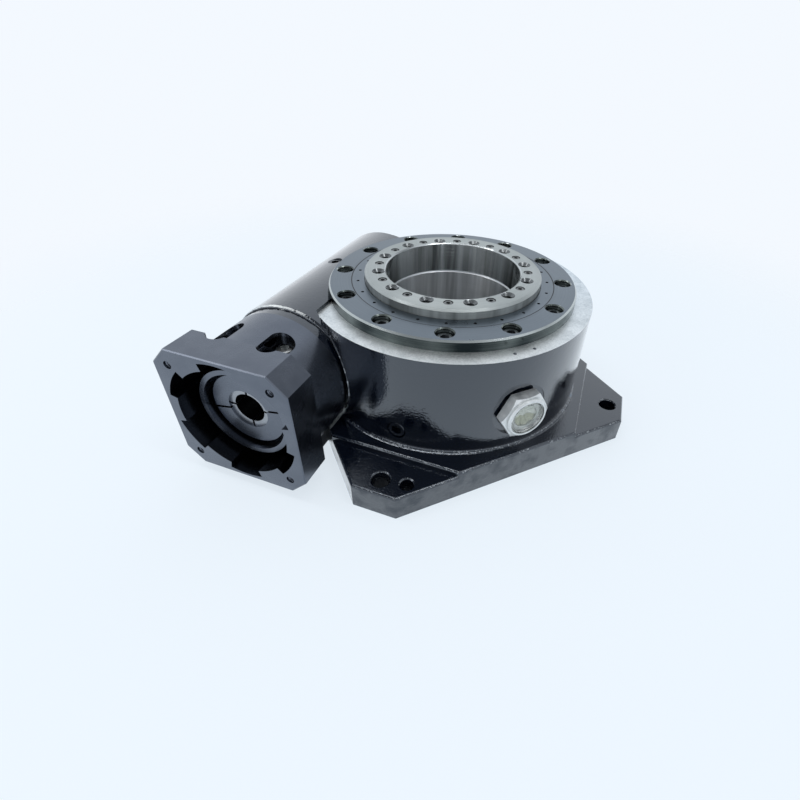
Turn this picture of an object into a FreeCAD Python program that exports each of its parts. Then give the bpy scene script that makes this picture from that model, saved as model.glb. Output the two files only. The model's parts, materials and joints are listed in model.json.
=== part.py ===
import FreeCAD, Part
import math
import os
import Sketcher

# Cam roller turret: a hollow rotary table driven by a globoid cam.
# The turret turns about +Z at the origin, the base stands on z = 0, and the
# cam shaft runs parallel to Y below the ring, with the motor face towards -Y.

Vector = FreeCAD.Vector
Rotation = FreeCAD.Rotation
Placement = FreeCAD.Placement

# Driving sizes in millimetres, angles in degrees. The comment gives each group.
SIZES = {
    # The bore, the cam's waist and the height of the cam axis set most of the rest
    "bore_r": 45.0,
    "cam_throat_r": 22.4,
    "cam_height": 48.0,
    # Clearances
    "fit_gap": 0.05,
    "run_gap": 0.4,
    "free_gap": 1.4,
    "hole_gap": 0.25,
    "head_gap": 0.2,
    "tap_room": 0.6,
    "overcut": 1.0,
    # Base plate: a square set on its corner, with its four tips cut square
    "plate_side": 204.0,
    "plate_thick": 20.5,
    "plate_round": 1.5,
    "tip_cut": 13.75,
    "pad_margin": 8.0,
    "pad_height": 17.0,
    "base_bolt_inset": 10.5,
    "base_bolt_hole_r": 5.5,
    "dowel_across": 15.5,
    "dowel_step": 2.0,
    "dowel_hole_r": 4.0,
    "base_hole_mouth": 0.8,
    # Drum and cam tunnel of the casting
    "drum_rim": 11.5,
    "foot_round": 2.0,
    "tunnel_wall": 15.333,
    "tunnel_edge": 2.0,
    "front_cut_gap": 0.5,
    "rear_cut_gap": 0.8,
    "milled_margin": 16.6,
    "ledge_mark_inset": 5.85,
    "ledge_mark_angle": -48.8,
    "ledge_mark_step": 8.4,
    "ledge_mark_r": 1.0,
    "ledge_mark_depth": 1.2,
    "chamber_floor": 14.0,
    "floor_hole_gap": 4.0,
    "end_tap_depth": 14.0,
    # Crossed roller bearing: outer ring, rollers and the ring that turns
    "bearing_wall": 20.5,
    "bearing_height": 13.0,
    "bearing_sink": 6.0,
    "bearing_lift": 3.0,
    "race_step": 3.0,
    "race_rise": 5.2,
    "race_gap": 0.8,
    "race_play": 0.15,
    "cross_roller_r": 3.0,
    "cross_roller_count": 24,
    "ring_screw_inset": 8.5,
    "ring_screw_count": 12,
    "ring_screw_length": 10.0,
    "ring_screw_sink": 3.0,
    "ring_screw_mouth": 0.7,
    "ring_edge": 1.0,
    "seal_step": 5.7,
    "seal_thick": 2.6,
    "seal_sink": 0.1,
    "seal_mark_r": 1.0,
    "seal_mark_depth": 0.8,
    "seal_mark_count": 24,
    # Output ring
    "output_wall": 14.0,
    "output_height": 22.0,
    "output_edge": 0.8,
    "output_rim": 1.4,
    "output_hole_inset": 5.0,
    "output_hole_count": 12,
    "output_hole_r": 2.5,
    "output_hole_depth": 18.0,
    "output_hole_mouth": 1.8,
    "join_screw_length": 28.0,
    "join_screw_sink": 0.3,
    # Follower carrier, studs and rollers
    "follower_count": 12,
    "follower_r": 8.0,
    "follower_length": 9.0,
    "follower_edge": 0.6,
    "carrier_wall": 12.0,
    "carrier_flange_thick": 8.0,
    "carrier_flange_step": 1.0,
    "carrier_land": 1.5,
    "carrier_neck": 3.0,
    "carrier_rise": 21.0,
    "sleeve_wall": 5.4,
    "sleeve_bottom": 2.0,
    "stud_r": 4.0,
    "stud_collar_r": 6.0,
    "stud_collar": 1.0,
    "stud_depth": 10.0,
    "stud_head": 1.0,
    # Globoid cam and its shaft
    "cam_half_length": 22.0,
    "cam_rim_gap": 0.6,
    "cam_root_gap": 0.8,
    "groove_overreach": 3.0,
    "flank_gap": 0.35,
    "shaft_r": 15.0,
    "journal_r": 12.5,
    "thread_r": 12.0,
    "seal_journal_r": 11.5,
    "nose_r": 8.0,
    "nose_step": 2.0,
    "shaft_relief": 0.5,
    # Cam shaft bearings, carried in the front housing and the rear cap
    "roller_bearing_r": 26.0,
    "roller_bearing_width": 15.0,
    "roller_bearing_count": 14,
    "roller_end_gap": 2.0,
    "end_seat_wall": 4.0,
    "end_seat_margin": 0.71,
    "end_seat_lip": 1.0,
    "nut_wall": 5.5,
    "nut_width": 5.5,
    "nut_room": 1.5,
    "nut_clear": 2.0,
    "nut_slot_r": 2.0,
    "nut_slot_count": 4,
    "web_thick": 5.0,
    "shaft_room": 1.5,
    "oil_seal_r": 20.0,
    "oil_seal_width": 7.0,
    "oil_seal_cover": 3.0,
    "lip_wall": 2.5,
    "lip_height": 1.0,
    "housing_flange": 6.0,
    "rear_cap_wall": 9.5,
    "rear_cap_thick": 8.0,
    "rear_cap_spigot": 1.5,
    "rear_screw_inset": 5.2,
    "rear_screw_count": 6,
    "rear_screw_sink": 0.5,
    "rear_screw_length": 16.0,
    # Motor adapter
    "adapter_length": 52.7,
    "adapter_half_side": 42.0,
    "adapter_corner": 10.4,
    "adapter_edge": 0.6,
    "adapter_flange": 21.0,
    "adapter_wall": 6.5,
    "adapter_step": 1.5,
    "adapter_eye": 4.5,
    "pilot_r": 35.0,
    "notch_r": 39.7,
    "notch_angle": 32.0,
    "notch_count": 6,
    "adapter_screw_circle_r": 35.6,
    "adapter_screw_length": 20.0,
    "motor_hole_offset": 31.82,
    "motor_hole_r": 2.5,
    "motor_hole_depth": 18.0,
    "window_across": 16.5,
    "window_half_width": 6.7,
    "window_front_inset": 23.7,
    "window_rear_gap": 0.7,
    # Coupling hub with its split bush
    "motor_shaft_r": 9.5,
    "bush_wall": 3.5,
    "bush_gap": 0.5,
    "bush_collar": 4.0,
    "hub_r": 29.3,
    "hub_gap": 0.5,
    "hub_sink": 10.0,
    "hub_rim_wall": 3.0,
    "hub_boss_wall": 10.5,
    "hub_boss_sink": 4.0,
    "hub_groove_depth": 16.0,
    "hub_collar_step": 2.7,
    "hub_collar_width": 11.0,
    "bush_sink": 1.5,
    "hub_slit": 1.4,
    "hub_slit_turn": 11.0,
    "clamp_screw_across": 12.0,
    "clamp_head_top": 29.5,
    "clamp_screw_length": 36.0,
    # Bottom cover and its seal
    "cover_bottom": 1.0,
    "cover_top": 8.0,
    "cover_seal_wall": 6.6,
    "cover_wall": 10.5,
    "cover_seal_inset": 0.5,
    "cover_screw_count": 8,
    "cover_screw_sink": 0.3,
    "cover_screw_length": 9.0,
    # Oil sight glass, drain plug and filler plug
    "sight_angle": -45.0,
    "sight_sink": 2.0,
    "sight_spot_r": 18.0,
    "sight_washer": 1.5,
    "sight_hex": 28.0,
    "sight_hex_thick": 6.5,
    "sight_rim_r": 13.2,
    "sight_rim": 2.0,
    "sight_ease": 0.8,
    "sight_dish": 2.5,
    "sight_lens_r": 11.2,
    "sight_lens_sink": 0.4,
    "sight_thread_r": 10.0,
    "sight_tail_wall": 2.5,
    "drain_angle": -91.0,
    "drain_drop": 16.0,
    "drain_r": 6.0,
    "drain_length": 12.0,
    "drain_sink": 0.6,
    "drain_edge": 1.0,
    "drain_key": 6.0,
    "filler_offset": 8.0,
    "filler_reach": 5.0,
    "filler_r": 5.0,
    "filler_length": 9.0,
    "filler_sink": 1.0,
    "filler_key": 5.0,
    "plug_key_depth": 5.0,
}

# Socket screws by nominal size: shank, head radius, head height, key across flats
CAP_SCREWS = {
    "m3": (1.5, 2.75, 3.0, 2.5),
    "m5_low": (2.5, 4.25, 3.5, 3.0),
    "m6": (3.0, 5.0, 6.0, 5.0),
}

# Eased edge as a share of a screw's head radius, and socket floor as a share of its head height
HEAD_EASE = 0.1
SOCKET_FLOOR = 0.45

# Tip of a small mark as a share of its radius at the surface
MARK_TIP = 0.25

# Shift of a ring of holes that stand halfway between even angles
HALFWAY = 0.5

# Degrees of cam turn between two sections of the groove
GROOVE_STEP = 15.0

doc = FreeCAD.newDocument("cam_roller_turret")
sheet = doc.addObject("Spreadsheet::Sheet", "Dims")


class Size:
    """A size from the sheet, or a sum of such sizes: its value and its formula."""

    def __init__(self, value, formula):
        self.value = value
        self.formula = formula

    def __add__(self, other):
        other = as_size(other)
        return Size(self.value + other.value, f"({self.formula} + {other.formula})")

    def __sub__(self, other):
        other = as_size(other)
        return Size(self.value - other.value, f"({self.formula} - {other.formula})")

    def __mul__(self, other):
        other = as_size(other)
        return Size(self.value * other.value, f"({self.formula} * {other.formula})")

    def __truediv__(self, other):
        other = as_size(other)
        return Size(self.value / other.value, f"({self.formula} / {other.formula})")

    def __radd__(self, other):
        return as_size(other) + self

    def __rsub__(self, other):
        return as_size(other) - self

    def __rmul__(self, other):
        return as_size(other) * self

    def __neg__(self):
        return as_size(0) - self


def as_size(item):
    """Let plain numbers join a sum of sizes."""
    if isinstance(item, Size):
        return item
    return Size(float(item), f"{float(item):.9f}")


def root(item):
    """Square root of a size."""
    return Size(math.sqrt(item.value), f"sqrt({item.formula})")


def fill_sheet():
    """Write each driving size into a cell with its name, and return them by name."""
    sizes = {}
    for row, (name, value) in enumerate(SIZES.items(), start=1):
        sheet.set(f"A{row}", name)
        sheet.set(f"B{row}", str(value))
        sheet.setAlias(f"B{row}", name)
        sizes[name] = Size(float(value), f"Dims.{name}")
    doc.recompute()
    return sizes


class Named:
    """The driving sizes as attributes."""

    def __init__(self, sizes):
        self.__dict__.update(sizes)


d = Named(fill_sheet())


# Radii outward from the bore
d.output_circle_r = d.bore_r + d.output_hole_inset
d.output_r = d.bore_r + d.output_wall
d.race_r = d.output_r + d.race_step
d.seal_outer_r = d.race_r + d.seal_step
d.bearing_r = d.race_r + d.bearing_wall
d.ring_screw_circle_r = d.bearing_r - d.ring_screw_inset
d.drum_r = d.bearing_r + d.drum_rim
d.sleeve_r = d.bore_r + d.sleeve_wall
d.cover_seal_r = d.sleeve_r + d.cover_seal_wall
d.cover_r = d.cover_seal_r + d.cover_wall
d.cover_screw_circle_r = d.cover_r - d.cover_wall / 2
d.carrier_r = d.bore_r + d.carrier_wall
d.carrier_flange_r = d.output_r + d.carrier_flange_step
seat_r = d.bearing_r + d.fit_gap

# Followers, and the cam that reaches in between them
follower_inner = d.carrier_r + d.stud_collar + d.run_gap / 2
follower_tip = follower_inner + d.follower_length
chamber_r = follower_tip + d.free_gap
cam_rim = d.carrier_r + d.cam_rim_gap
cam_root = follower_tip + d.cam_root_gap
d.centre_distance = cam_rim + d.cam_throat_r
cam_end_r = d.centre_distance - root(cam_rim * cam_rim - d.cam_half_length * d.cam_half_length)
cam_bore_r = cam_end_r + d.free_gap
d.tunnel_r = cam_bore_r + d.tunnel_wall
d.milled_edge = d.centre_distance - d.milled_margin

# Heights
d.output_bottom = d.cam_height + d.follower_r + d.carrier_rise
d.output_top = d.output_bottom + d.output_height
d.bearing_bottom = d.output_bottom + d.bearing_lift
d.bearing_top = d.bearing_bottom + d.bearing_height
d.race_height = d.bearing_bottom + d.race_rise
d.seal_bottom = d.bearing_top - d.seal_thick
d.drum_top = d.bearing_bottom + d.bearing_sink
ring_seat = d.bearing_top - CAP_SCREWS["m6"][2] - d.ring_screw_sink
race_depth = (d.cross_roller_r + d.race_play) * math.sqrt(2) - d.race_gap

# Reaches along the cam axis: the end seats keep clear of the followers' sweep
d.end_seat_r = d.roller_bearing_r + d.end_seat_wall
sweep_r = chamber_r + d.end_seat_margin
seat_inset = d.centre_distance - d.end_seat_r
d.end_seat_reach = root(sweep_r * sweep_r - seat_inset * seat_inset)
bearing_face = d.end_seat_reach + d.end_seat_lip
bearing_back = bearing_face + d.roller_bearing_width
web_back = bearing_back + d.nut_width + d.nut_room
seal_back = web_back + d.web_thick
seal_face = seal_back + d.oil_seal_width
housing_face = seal_face + d.oil_seal_cover
d.tunnel_front = housing_face - d.housing_flange
d.tunnel_rear = bearing_back - d.rear_cap_spigot
d.nut_r = d.thread_r + d.nut_wall
d.rear_cap_r = d.end_seat_r + d.rear_cap_wall
d.rear_screw_circle_r = d.rear_cap_r - d.rear_screw_inset
d.adapter_r = d.tunnel_r - d.adapter_step
d.adapter_face = housing_face + d.adapter_length
adapter_floor = housing_face + d.adapter_wall

# Coupling hub, from the adapter's floor and face
d.hub_face = d.adapter_face - d.hub_sink
d.hub_boss_face = d.hub_face - d.hub_boss_sink
d.hub_rear = adapter_floor + d.hub_gap
d.hub_collar_front = d.hub_rear + d.hub_collar_width
d.hub_collar_r = d.hub_r + d.hub_collar_step
d.hub_groove_outer_r = d.hub_r - d.hub_rim_wall
d.bush_r = d.motor_shaft_r + d.bush_wall
d.bush_face = d.hub_boss_face - d.bush_sink
d.hub_groove_inner_r = d.bush_r + d.hub_boss_wall
d.clamp_screw_reach = d.hub_rear + d.hub_collar_width / 2
d.window_front = d.adapter_face - d.window_front_inset
d.window_rear = d.hub_collar_front + d.window_rear_gap

# Places on the base plate and the casting's fittings
plate_corner = d.plate_side * math.sqrt(0.5)
d.tip_reach = plate_corner - d.tip_cut
d.pad_reach = d.drum_r + d.pad_margin
d.base_bolt_reach = d.tip_reach - d.base_bolt_inset
d.dowel_reach = d.base_bolt_reach - d.dowel_step
d.sight_seat = d.drum_r - d.sight_sink
d.drain_height = d.cam_height - d.drain_drop
d.filler_across = d.centre_distance + d.filler_offset


def bind(thing, prop, item):
    """Drive a property by its size's formula."""
    thing.setExpression(prop, as_size(item).formula)


def place(thing, base, rotation=None):
    """Set a piece's placement, with its base driven by sizes."""
    spot = Vector(*[as_size(item).value for item in base])
    thing.Placement = Placement(spot, rotation or Rotation())
    for axis, item in zip("xyz", base):
        bind(thing, f"Placement.Base.{axis}", item)
    return thing


# Directions of a piece's own +Z
UP = Rotation()
TO_REAR = Rotation(Vector(1, 0, 0), -90)
TO_MOTOR = Rotation(Vector(1, 0, 0), 90)


def outward(angle):
    """Turn a piece's +Z to point away from the turret axis at this angle."""
    return Rotation(Vector(0, 0, 1), angle) * Rotation(Vector(0, 1, 0), 90)


def on_cam_axis(reach):
    """Point on the cam axis, this far towards the motor."""
    return (-d.centre_distance, -reach, d.cam_height)


def polar(radius, angle):
    """Point at this radius and angle, as two sizes."""
    return (radius * math.cos(math.radians(angle)), radius * math.sin(math.radians(angle)))


def even_angles(count, shift=0.0):
    """Angles of a ring of equal steps, moved on by this share of a step."""
    number = int(count.value)
    return [360.0 * (step + shift) / number for step in range(number)]


# Sketched bodies


def sketch_on(body, label, role):
    """Add a sketch on one of the body's own origin planes."""
    sketch = body.newObject("Sketcher::SketchObject", label)
    plane = next(item for item in body.Origin.OriginFeatures if item.Role == role)
    sketch.AttachmentSupport = [(plane, "")]
    sketch.MapMode = "FlatFace"
    return sketch


def pin_point(sketch, geometry, end, point):
    """Tie a sketch point to its two sizes, or to an axis where a size is zero."""
    for kind, axis, item in zip(("DistanceX", "DistanceY"), (-2, -1), point):
        item = as_size(item)
        if item.value == 0:
            sketch.addConstraint(Sketcher.Constraint("PointOnObject", geometry, end, axis))
        else:
            rule = Sketcher.Constraint(kind, -1, 1, geometry, end, item.value)
            index = sketch.addConstraint(rule)
            sketch.setExpression(f"Constraints[{index}]", item.formula)


def outline(sketch, points):
    """Draw a closed outline whose corners follow their sizes."""
    corners = [Vector(as_size(x).value, as_size(y).value, 0) for x, y in points]
    count = len(corners)
    for index in range(count):
        sketch.addGeometry(Part.LineSegment(corners[index], corners[(index + 1) % count]))
    for index in range(count):
        following = (index + 1) % count
        sketch.addConstraint(Sketcher.Constraint("Coincident", index, 2, following, 1))
    for index, point in enumerate(points):
        pin_point(sketch, index, 1, point)


def turned(label, points):
    """Turned piece: a profile of (radius, height) corners, turned about its own Z."""
    body = doc.addObject("PartDesign::Body", label)
    sketch = sketch_on(body, label + "_profile", "XZ_Plane")
    outline(sketch, points)
    turn = body.newObject("PartDesign::Revolution", label + "_turned")
    turn.Profile = sketch
    turn.ReferenceAxis = (sketch, ["V_Axis"])
    turn.Angle = 360
    return body


def padded(label, points, height):
    """Straight piece: a flat outline raised along its own Z."""
    body = doc.addObject("PartDesign::Body", label)
    sketch = sketch_on(body, label + "_outline", "XY_Plane")
    outline(sketch, points)
    pad = body.newObject("PartDesign::Pad", label + "_raised")
    pad.Profile = sketch
    bind(pad, "Length", height)
    return body


def level_edges(shape, height):
    """Names of the straight edges that lie flat at this height."""
    names = []
    for index, edge in enumerate(shape.Edges, start=1):
        ends = [vertex.Point.z for vertex in edge.Vertexes]
        if len(ends) == 2 and all(abs(z - height) < 1e-6 for z in ends):
            names.append(f"Edge{index}")
    return names


def ease_top(body, kind, height, prop, size):
    """Round or chamfer the top outline of a straight piece."""
    doc.recompute()
    raised = body.Tip
    ease = body.newObject("PartDesign::" + kind, body.Label + "_eased")
    ease.Base = (raised, level_edges(raised.Shape, as_size(height).value))
    bind(ease, prop, size)
    return body


# Primitive solids and booleans


def cylinder(radius, height, base=(0, 0, 0), rotation=UP, sweep=None):
    """Cylinder, or a sector of one, from its base along its own +Z."""
    solid = doc.addObject("Part::Cylinder", "cylinder")
    bind(solid, "Radius", radius)
    bind(solid, "Height", height)
    if sweep is not None:
        bind(solid, "Angle", sweep)
    return place(solid, base, rotation)


def cone(low_r, high_r, height, base, rotation=UP):
    """Cone frustum from its base along its own +Z."""
    solid = doc.addObject("Part::Cone", "cone")
    bind(solid, "Radius1", low_r)
    bind(solid, "Radius2", high_r)
    bind(solid, "Height", height)
    return place(solid, base, rotation)


def block(low, high):
    """Box between two corners."""
    solid = doc.addObject("Part::Box", "block")
    for prop, start, end in zip(("Length", "Width", "Height"), low, high):
        bind(solid, prop, as_size(end) - start)
    return place(solid, low)


def hexagon(across_flats, height, base=(0, 0, 0), rotation=UP):
    """Six-sided prism from its base along its own +Z."""
    solid = doc.addObject("Part::Prism", "hexagon")
    solid.Polygon = 6
    bind(solid, "Circumradius", as_size(across_flats) / math.sqrt(3))
    bind(solid, "Height", height)
    return place(solid, base, rotation)


def fused(label, pieces):
    """One solid out of several."""
    if len(pieces) == 1:
        return pieces[0]
    solid = doc.addObject("Part::MultiFuse", label)
    solid.Shapes = pieces
    return solid


def cut(label, piece, tools):
    """A piece with tools taken out of it."""
    solid = doc.addObject("Part::Cut", label)
    solid.Base = piece
    solid.Tool = fused(label + "_tools", tools)
    return solid


def copies(label, pattern, placements):
    """Equal separate pieces in one node, each a copy of the pattern."""
    doc.recompute()
    group = doc.addObject("Part::Feature", label)
    solids = [pattern.Shape.copy().transformed(spot.toMatrix()) for spot in placements]
    group.Shape = Part.makeCompound(solids)
    return group


def spot(base, rotation=UP):
    """Placement at a point given by sizes."""
    return Placement(Vector(*[as_size(item).value for item in base]), rotation)


def cap_screw(label, name, length):
    """Socket head screw with its seat at z = 0, head up and shank down."""
    shank_r, head_r, head_height, key = CAP_SCREWS[name]
    ease = head_r * HEAD_EASE
    tip = -as_size(length)
    blank = turned(label + "_turned", [
        (0, tip), (shank_r - ease, tip), (shank_r, tip + ease), (shank_r, 0), (head_r, 0),
        (head_r, head_height - ease), (head_r - ease, head_height), (0, head_height)])
    socket = hexagon(key, head_height, (0, 0, head_height * SOCKET_FLOOR))
    return cut(label, blank, [socket])


def screw_hole(name, gap):
    """Radius of a plain hole for this screw."""
    return CAP_SCREWS[name][0] + gap


def head_hole(name):
    """Radius of a counterbore for this screw's head."""
    return CAP_SCREWS[name][1] + d.head_gap


parts = {}


def keep(label, piece):
    """Name a finished sub-part."""
    piece.Label = label
    parts[label] = piece
    return piece


# Casting: base plate, drum and cam tunnel


def plate_step(label, reach, height):
    """Corner-set square plate, cut off square at this reach, with its top edge eased."""
    corner = plate_corner - reach
    step = padded(label, [
        (reach, -corner), (reach, corner), (corner, reach), (-corner, reach),
        (-reach, corner), (-reach, -corner), (-corner, -reach), (corner, -reach),
    ], height)
    return ease_top(step, "Fillet", height, "Radius", d.plate_round)


def casting_blank():
    pads = plate_step("pads", d.tip_reach, d.pad_height)
    plate = plate_step("plate", d.pad_reach, d.plate_thick)
    foot_r = d.drum_r + d.foot_round
    foot_top = d.plate_thick + d.foot_round
    cove = doc.addObject("Part::Torus", "foot_cove")
    bind(cove, "Radius1", foot_r)
    bind(cove, "Radius2", d.foot_round)
    place(cove, (0, 0, foot_top))
    foot = cut("foot", cylinder(foot_r, foot_top), [cove])
    drum = cylinder(d.drum_r, d.drum_top)
    edge, length = d.tunnel_edge, d.tunnel_front + d.tunnel_rear
    tunnel = turned("tunnel", [
        (0, 0), (d.tunnel_r - edge, 0), (d.tunnel_r, edge), (d.tunnel_r, length - edge),
        (d.tunnel_r - edge, length), (0, length)])
    place(tunnel, on_cam_axis(d.tunnel_front), TO_REAR)
    return fused("casting_blank", [pads, plate, foot, drum, tunnel])


def casting_chambers():
    sky = d.output_top + d.tunnel_r
    far = d.plate_side
    return [
        cylinder(seat_r, sky, (0, 0, d.bearing_bottom)),
        cut("milled_top", cylinder(d.drum_r + d.run_gap, sky, (0, 0, d.drum_top)),
            [block((-far, -far, 0), (-d.milled_edge, far, d.drum_top + sky))]),
        cylinder(chamber_r, d.bearing_bottom - d.chamber_floor + d.overcut, (0, 0, d.chamber_floor)),
        cylinder(d.sleeve_r + d.floor_hole_gap, d.chamber_floor + d.overcut),
        cylinder(d.cover_r + d.fit_gap, d.cover_top),
        cylinder(cam_bore_r, d.tunnel_front + d.tunnel_rear, on_cam_axis(d.tunnel_front), TO_REAR),
        cylinder(d.end_seat_r + d.fit_gap, d.tunnel_front - d.end_seat_reach,
                 on_cam_axis(d.tunnel_front), TO_REAR),
        cylinder(d.end_seat_r + d.fit_gap, d.tunnel_rear - d.end_seat_reach,
                 on_cam_axis(-d.end_seat_reach), TO_REAR),
        cylinder(d.tunnel_r + d.front_cut_gap, far, on_cam_axis(d.tunnel_front), TO_MOTOR),
        cylinder(d.rear_cap_r + d.rear_cut_gap, far, on_cam_axis(-d.tunnel_rear), TO_REAR),
    ]


def mouthed_hole(radius, x, y):
    """Hole through a pad, with its upper edge eased."""
    mouth = d.base_hole_mouth
    return [
        cylinder(radius, d.pad_height, (x, y, 0)),
        cone(radius, radius + mouth, mouth, (x, y, d.pad_height - mouth)),
    ]


def casting_holes():
    holes = []
    for angle in (0, 90, 180, 270):
        x, y = polar(d.base_bolt_reach, angle)
        holes += mouthed_hole(d.base_bolt_hole_r, x, y)
    holes += mouthed_hole(d.dowel_hole_r, d.dowel_across, -d.dowel_reach)
    ring_depth = d.ring_screw_length - (ring_seat - d.bearing_bottom) + d.tap_room
    for angle in even_angles(d.ring_screw_count, HALFWAY):
        x, y = polar(d.ring_screw_circle_r, angle)
        holes.append(cylinder(screw_hole("m6", d.fit_gap), ring_depth,
                              (x, y, d.bearing_bottom - ring_depth)))
    for angle in even_angles(d.notch_count, HALFWAY):
        x, z = polar(d.adapter_screw_circle_r, angle)
        holes.append(cylinder(screw_hole("m5_low", d.fit_gap), d.end_tap_depth,
                              (x - d.centre_distance, -d.tunnel_front, z + d.cam_height), TO_REAR))
    for angle in even_angles(d.rear_screw_count, HALFWAY):
        x, z = polar(d.rear_screw_circle_r, angle)
        holes.append(cylinder(screw_hole("m5_low", d.fit_gap), d.end_tap_depth,
                              (x - d.centre_distance, d.tunnel_rear, z + d.cam_height), TO_MOTOR))
    for angle in even_angles(d.cover_screw_count, HALFWAY):
        x, y = polar(d.cover_screw_circle_r, angle)
        holes.append(cylinder(screw_hole("m5_low", d.fit_gap), d.chamber_floor, (x, y, 0)))
    return holes


def casting_fittings():
    """Holes for the sight glass and the plugs, and the two marks on the ledge."""
    sight = outward(d.sight_angle.value)
    drain = outward(d.drain_angle.value)
    x, y = polar(d.sight_seat, d.sight_angle.value)
    inner_r = chamber_r - 2 * d.overcut
    inner_x, inner_y = polar(inner_r, d.sight_angle.value)
    drain_x, drain_y = polar(inner_r, d.drain_angle.value)
    filler_base = d.cam_height + cam_bore_r - d.filler_offset
    depth = d.ledge_mark_depth
    marks = []
    for step in (0, 1):
        angle = d.ledge_mark_angle.value + d.ledge_mark_step.value * step
        mark_x, mark_y = polar(d.bearing_r + d.ledge_mark_inset, angle)
        marks.append(cone(d.ledge_mark_r * MARK_TIP, d.ledge_mark_r, depth,
                          (mark_x, mark_y, d.drum_top - depth)))
    return marks + [
        cylinder(d.sight_spot_r, d.sight_spot_r, (x, y, d.cam_height), sight),
        cylinder(d.sight_thread_r + d.fit_gap, d.sight_seat - inner_r,
                 (inner_x, inner_y, d.cam_height), sight),
        cylinder(d.drain_r + d.fit_gap, d.drum_r - inner_r + d.overcut,
                 (drain_x, drain_y, d.drain_height), drain),
        cylinder(d.filler_r + d.fit_gap, d.tunnel_r, (-d.filler_across, -d.filler_reach, filler_base)),
    ]


def make_housing():
    tools = casting_chambers() + casting_holes() + casting_fittings()
    keep("housing", cut("housing", casting_blank(), tools))


# Main bearing: outer ring, seal, crossed rollers and screws


def make_main_bearing():
    mid, wall = d.race_height, d.race_r + d.race_gap
    profile = turned("outer_ring_turned", [
        (wall, d.bearing_bottom), (d.bearing_r, d.bearing_bottom),
        (d.bearing_r, d.bearing_top - d.ring_edge), (d.bearing_r - d.ring_edge, d.bearing_top),
        (d.seal_outer_r, d.bearing_top), (d.seal_outer_r, d.seal_bottom),
        (wall, d.seal_bottom), (wall, mid + race_depth), (wall + race_depth, mid),
        (wall, mid - race_depth),
    ])
    holes = []
    screws = []
    mouth = d.ring_screw_mouth
    for angle in even_angles(d.ring_screw_count, HALFWAY):
        x, y = polar(d.ring_screw_circle_r, angle)
        holes.append(cylinder(screw_hole("m6", d.hole_gap), d.bearing_top, (x, y, 0)))
        holes.append(cylinder(head_hole("m6"), d.bearing_top, (x, y, ring_seat)))
        holes.append(cone(head_hole("m6"), head_hole("m6") + mouth, mouth, (x, y, d.bearing_top - mouth)))
        screws.append(spot((x, y, ring_seat)))
    keep("bearing_outer_ring", cut("bearing_outer_ring", profile, holes))
    pattern = cap_screw("ring_screw", "m6", d.ring_screw_length)
    keep("bearing_screws", copies("bearing_screws", pattern, screws))
    inner = d.output_r + d.run_gap
    seal_top = d.bearing_top - d.seal_sink
    seal_lip = d.seal_bottom + d.run_gap / 2
    seal = turned("seal_turned", [
        (inner, seal_lip), (d.race_r + d.race_gap, seal_lip),
        (d.race_r + d.race_gap, d.seal_bottom), (d.seal_outer_r, d.seal_bottom),
        (d.seal_outer_r, seal_top), (inner, seal_top),
    ])
    marks = []
    depth = d.seal_mark_depth
    for angle in even_angles(d.seal_mark_count):
        x, y = polar((inner + d.seal_outer_r) / 2, angle)
        marks.append(cone(d.seal_mark_r * MARK_TIP, d.seal_mark_r, depth, (x, y, seal_top - depth)))
    keep("dust_seal", cut("dust_seal", seal, marks))
    length = 2 * d.cross_roller_r - d.run_gap / 2
    roller = cylinder(d.cross_roller_r, length, (0, 0, -length / 2))
    spots = []
    for step, angle in enumerate(even_angles(d.cross_roller_count)):
        lean = 45 if step % 2 else -45
        x, y = polar(d.race_r, angle)
        turn = Rotation(Vector(0, 0, 1), angle) * Rotation(Vector(0, 1, 0), lean)
        spots.append(spot((x, y, mid), turn))
    keep("bearing_rollers", copies("bearing_rollers", roller, spots))


# Turret: output ring, follower carrier, studs and rollers


def make_output_ring():
    mid, wall = d.race_height, d.race_r - d.race_gap
    edge, rim, shoulder = d.output_edge, d.output_rim, d.seal_bottom - d.run_gap
    profile = turned("output_ring_turned", [
        (d.bore_r + edge, d.output_bottom), (d.carrier_flange_r, d.output_bottom),
        (wall, d.output_bottom + edge), (wall, mid - race_depth), (wall - race_depth, mid),
        (wall, mid + race_depth), (wall, shoulder), (d.output_r, shoulder),
        (d.output_r, d.output_top - rim), (d.output_r - rim, d.output_top),
        (d.bore_r + edge, d.output_top), (d.bore_r, d.output_top - edge),
        (d.bore_r, d.output_bottom + edge),
    ])
    holes = []
    screws = []
    mouth = d.output_hole_mouth
    join_seat = d.output_top - CAP_SCREWS["m3"][2] - d.join_screw_sink
    for angle in even_angles(d.output_hole_count):
        x, y = polar(d.output_circle_r, angle)
        holes.append(cylinder(d.output_hole_r, d.output_hole_depth,
                              (x, y, d.output_top - d.output_hole_depth)))
        holes.append(cone(d.output_hole_r, d.output_hole_r + mouth, mouth,
                          (x, y, d.output_top - mouth)))
    for angle in even_angles(d.output_hole_count, HALFWAY):
        x, y = polar(d.output_circle_r, angle)
        holes.append(cylinder(screw_hole("m3", d.hole_gap), d.output_top, (x, y, 0)))
        holes.append(cylinder(head_hole("m3"), d.output_top, (x, y, join_seat)))
        screws.append(spot((x, y, join_seat)))
    keep("output_ring", cut("output_ring", profile, holes))
    pattern = cap_screw("join_screw", "m3", d.join_screw_length)
    keep("output_ring_screws", copies("output_ring_screws", pattern, screws))
    return join_seat


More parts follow.
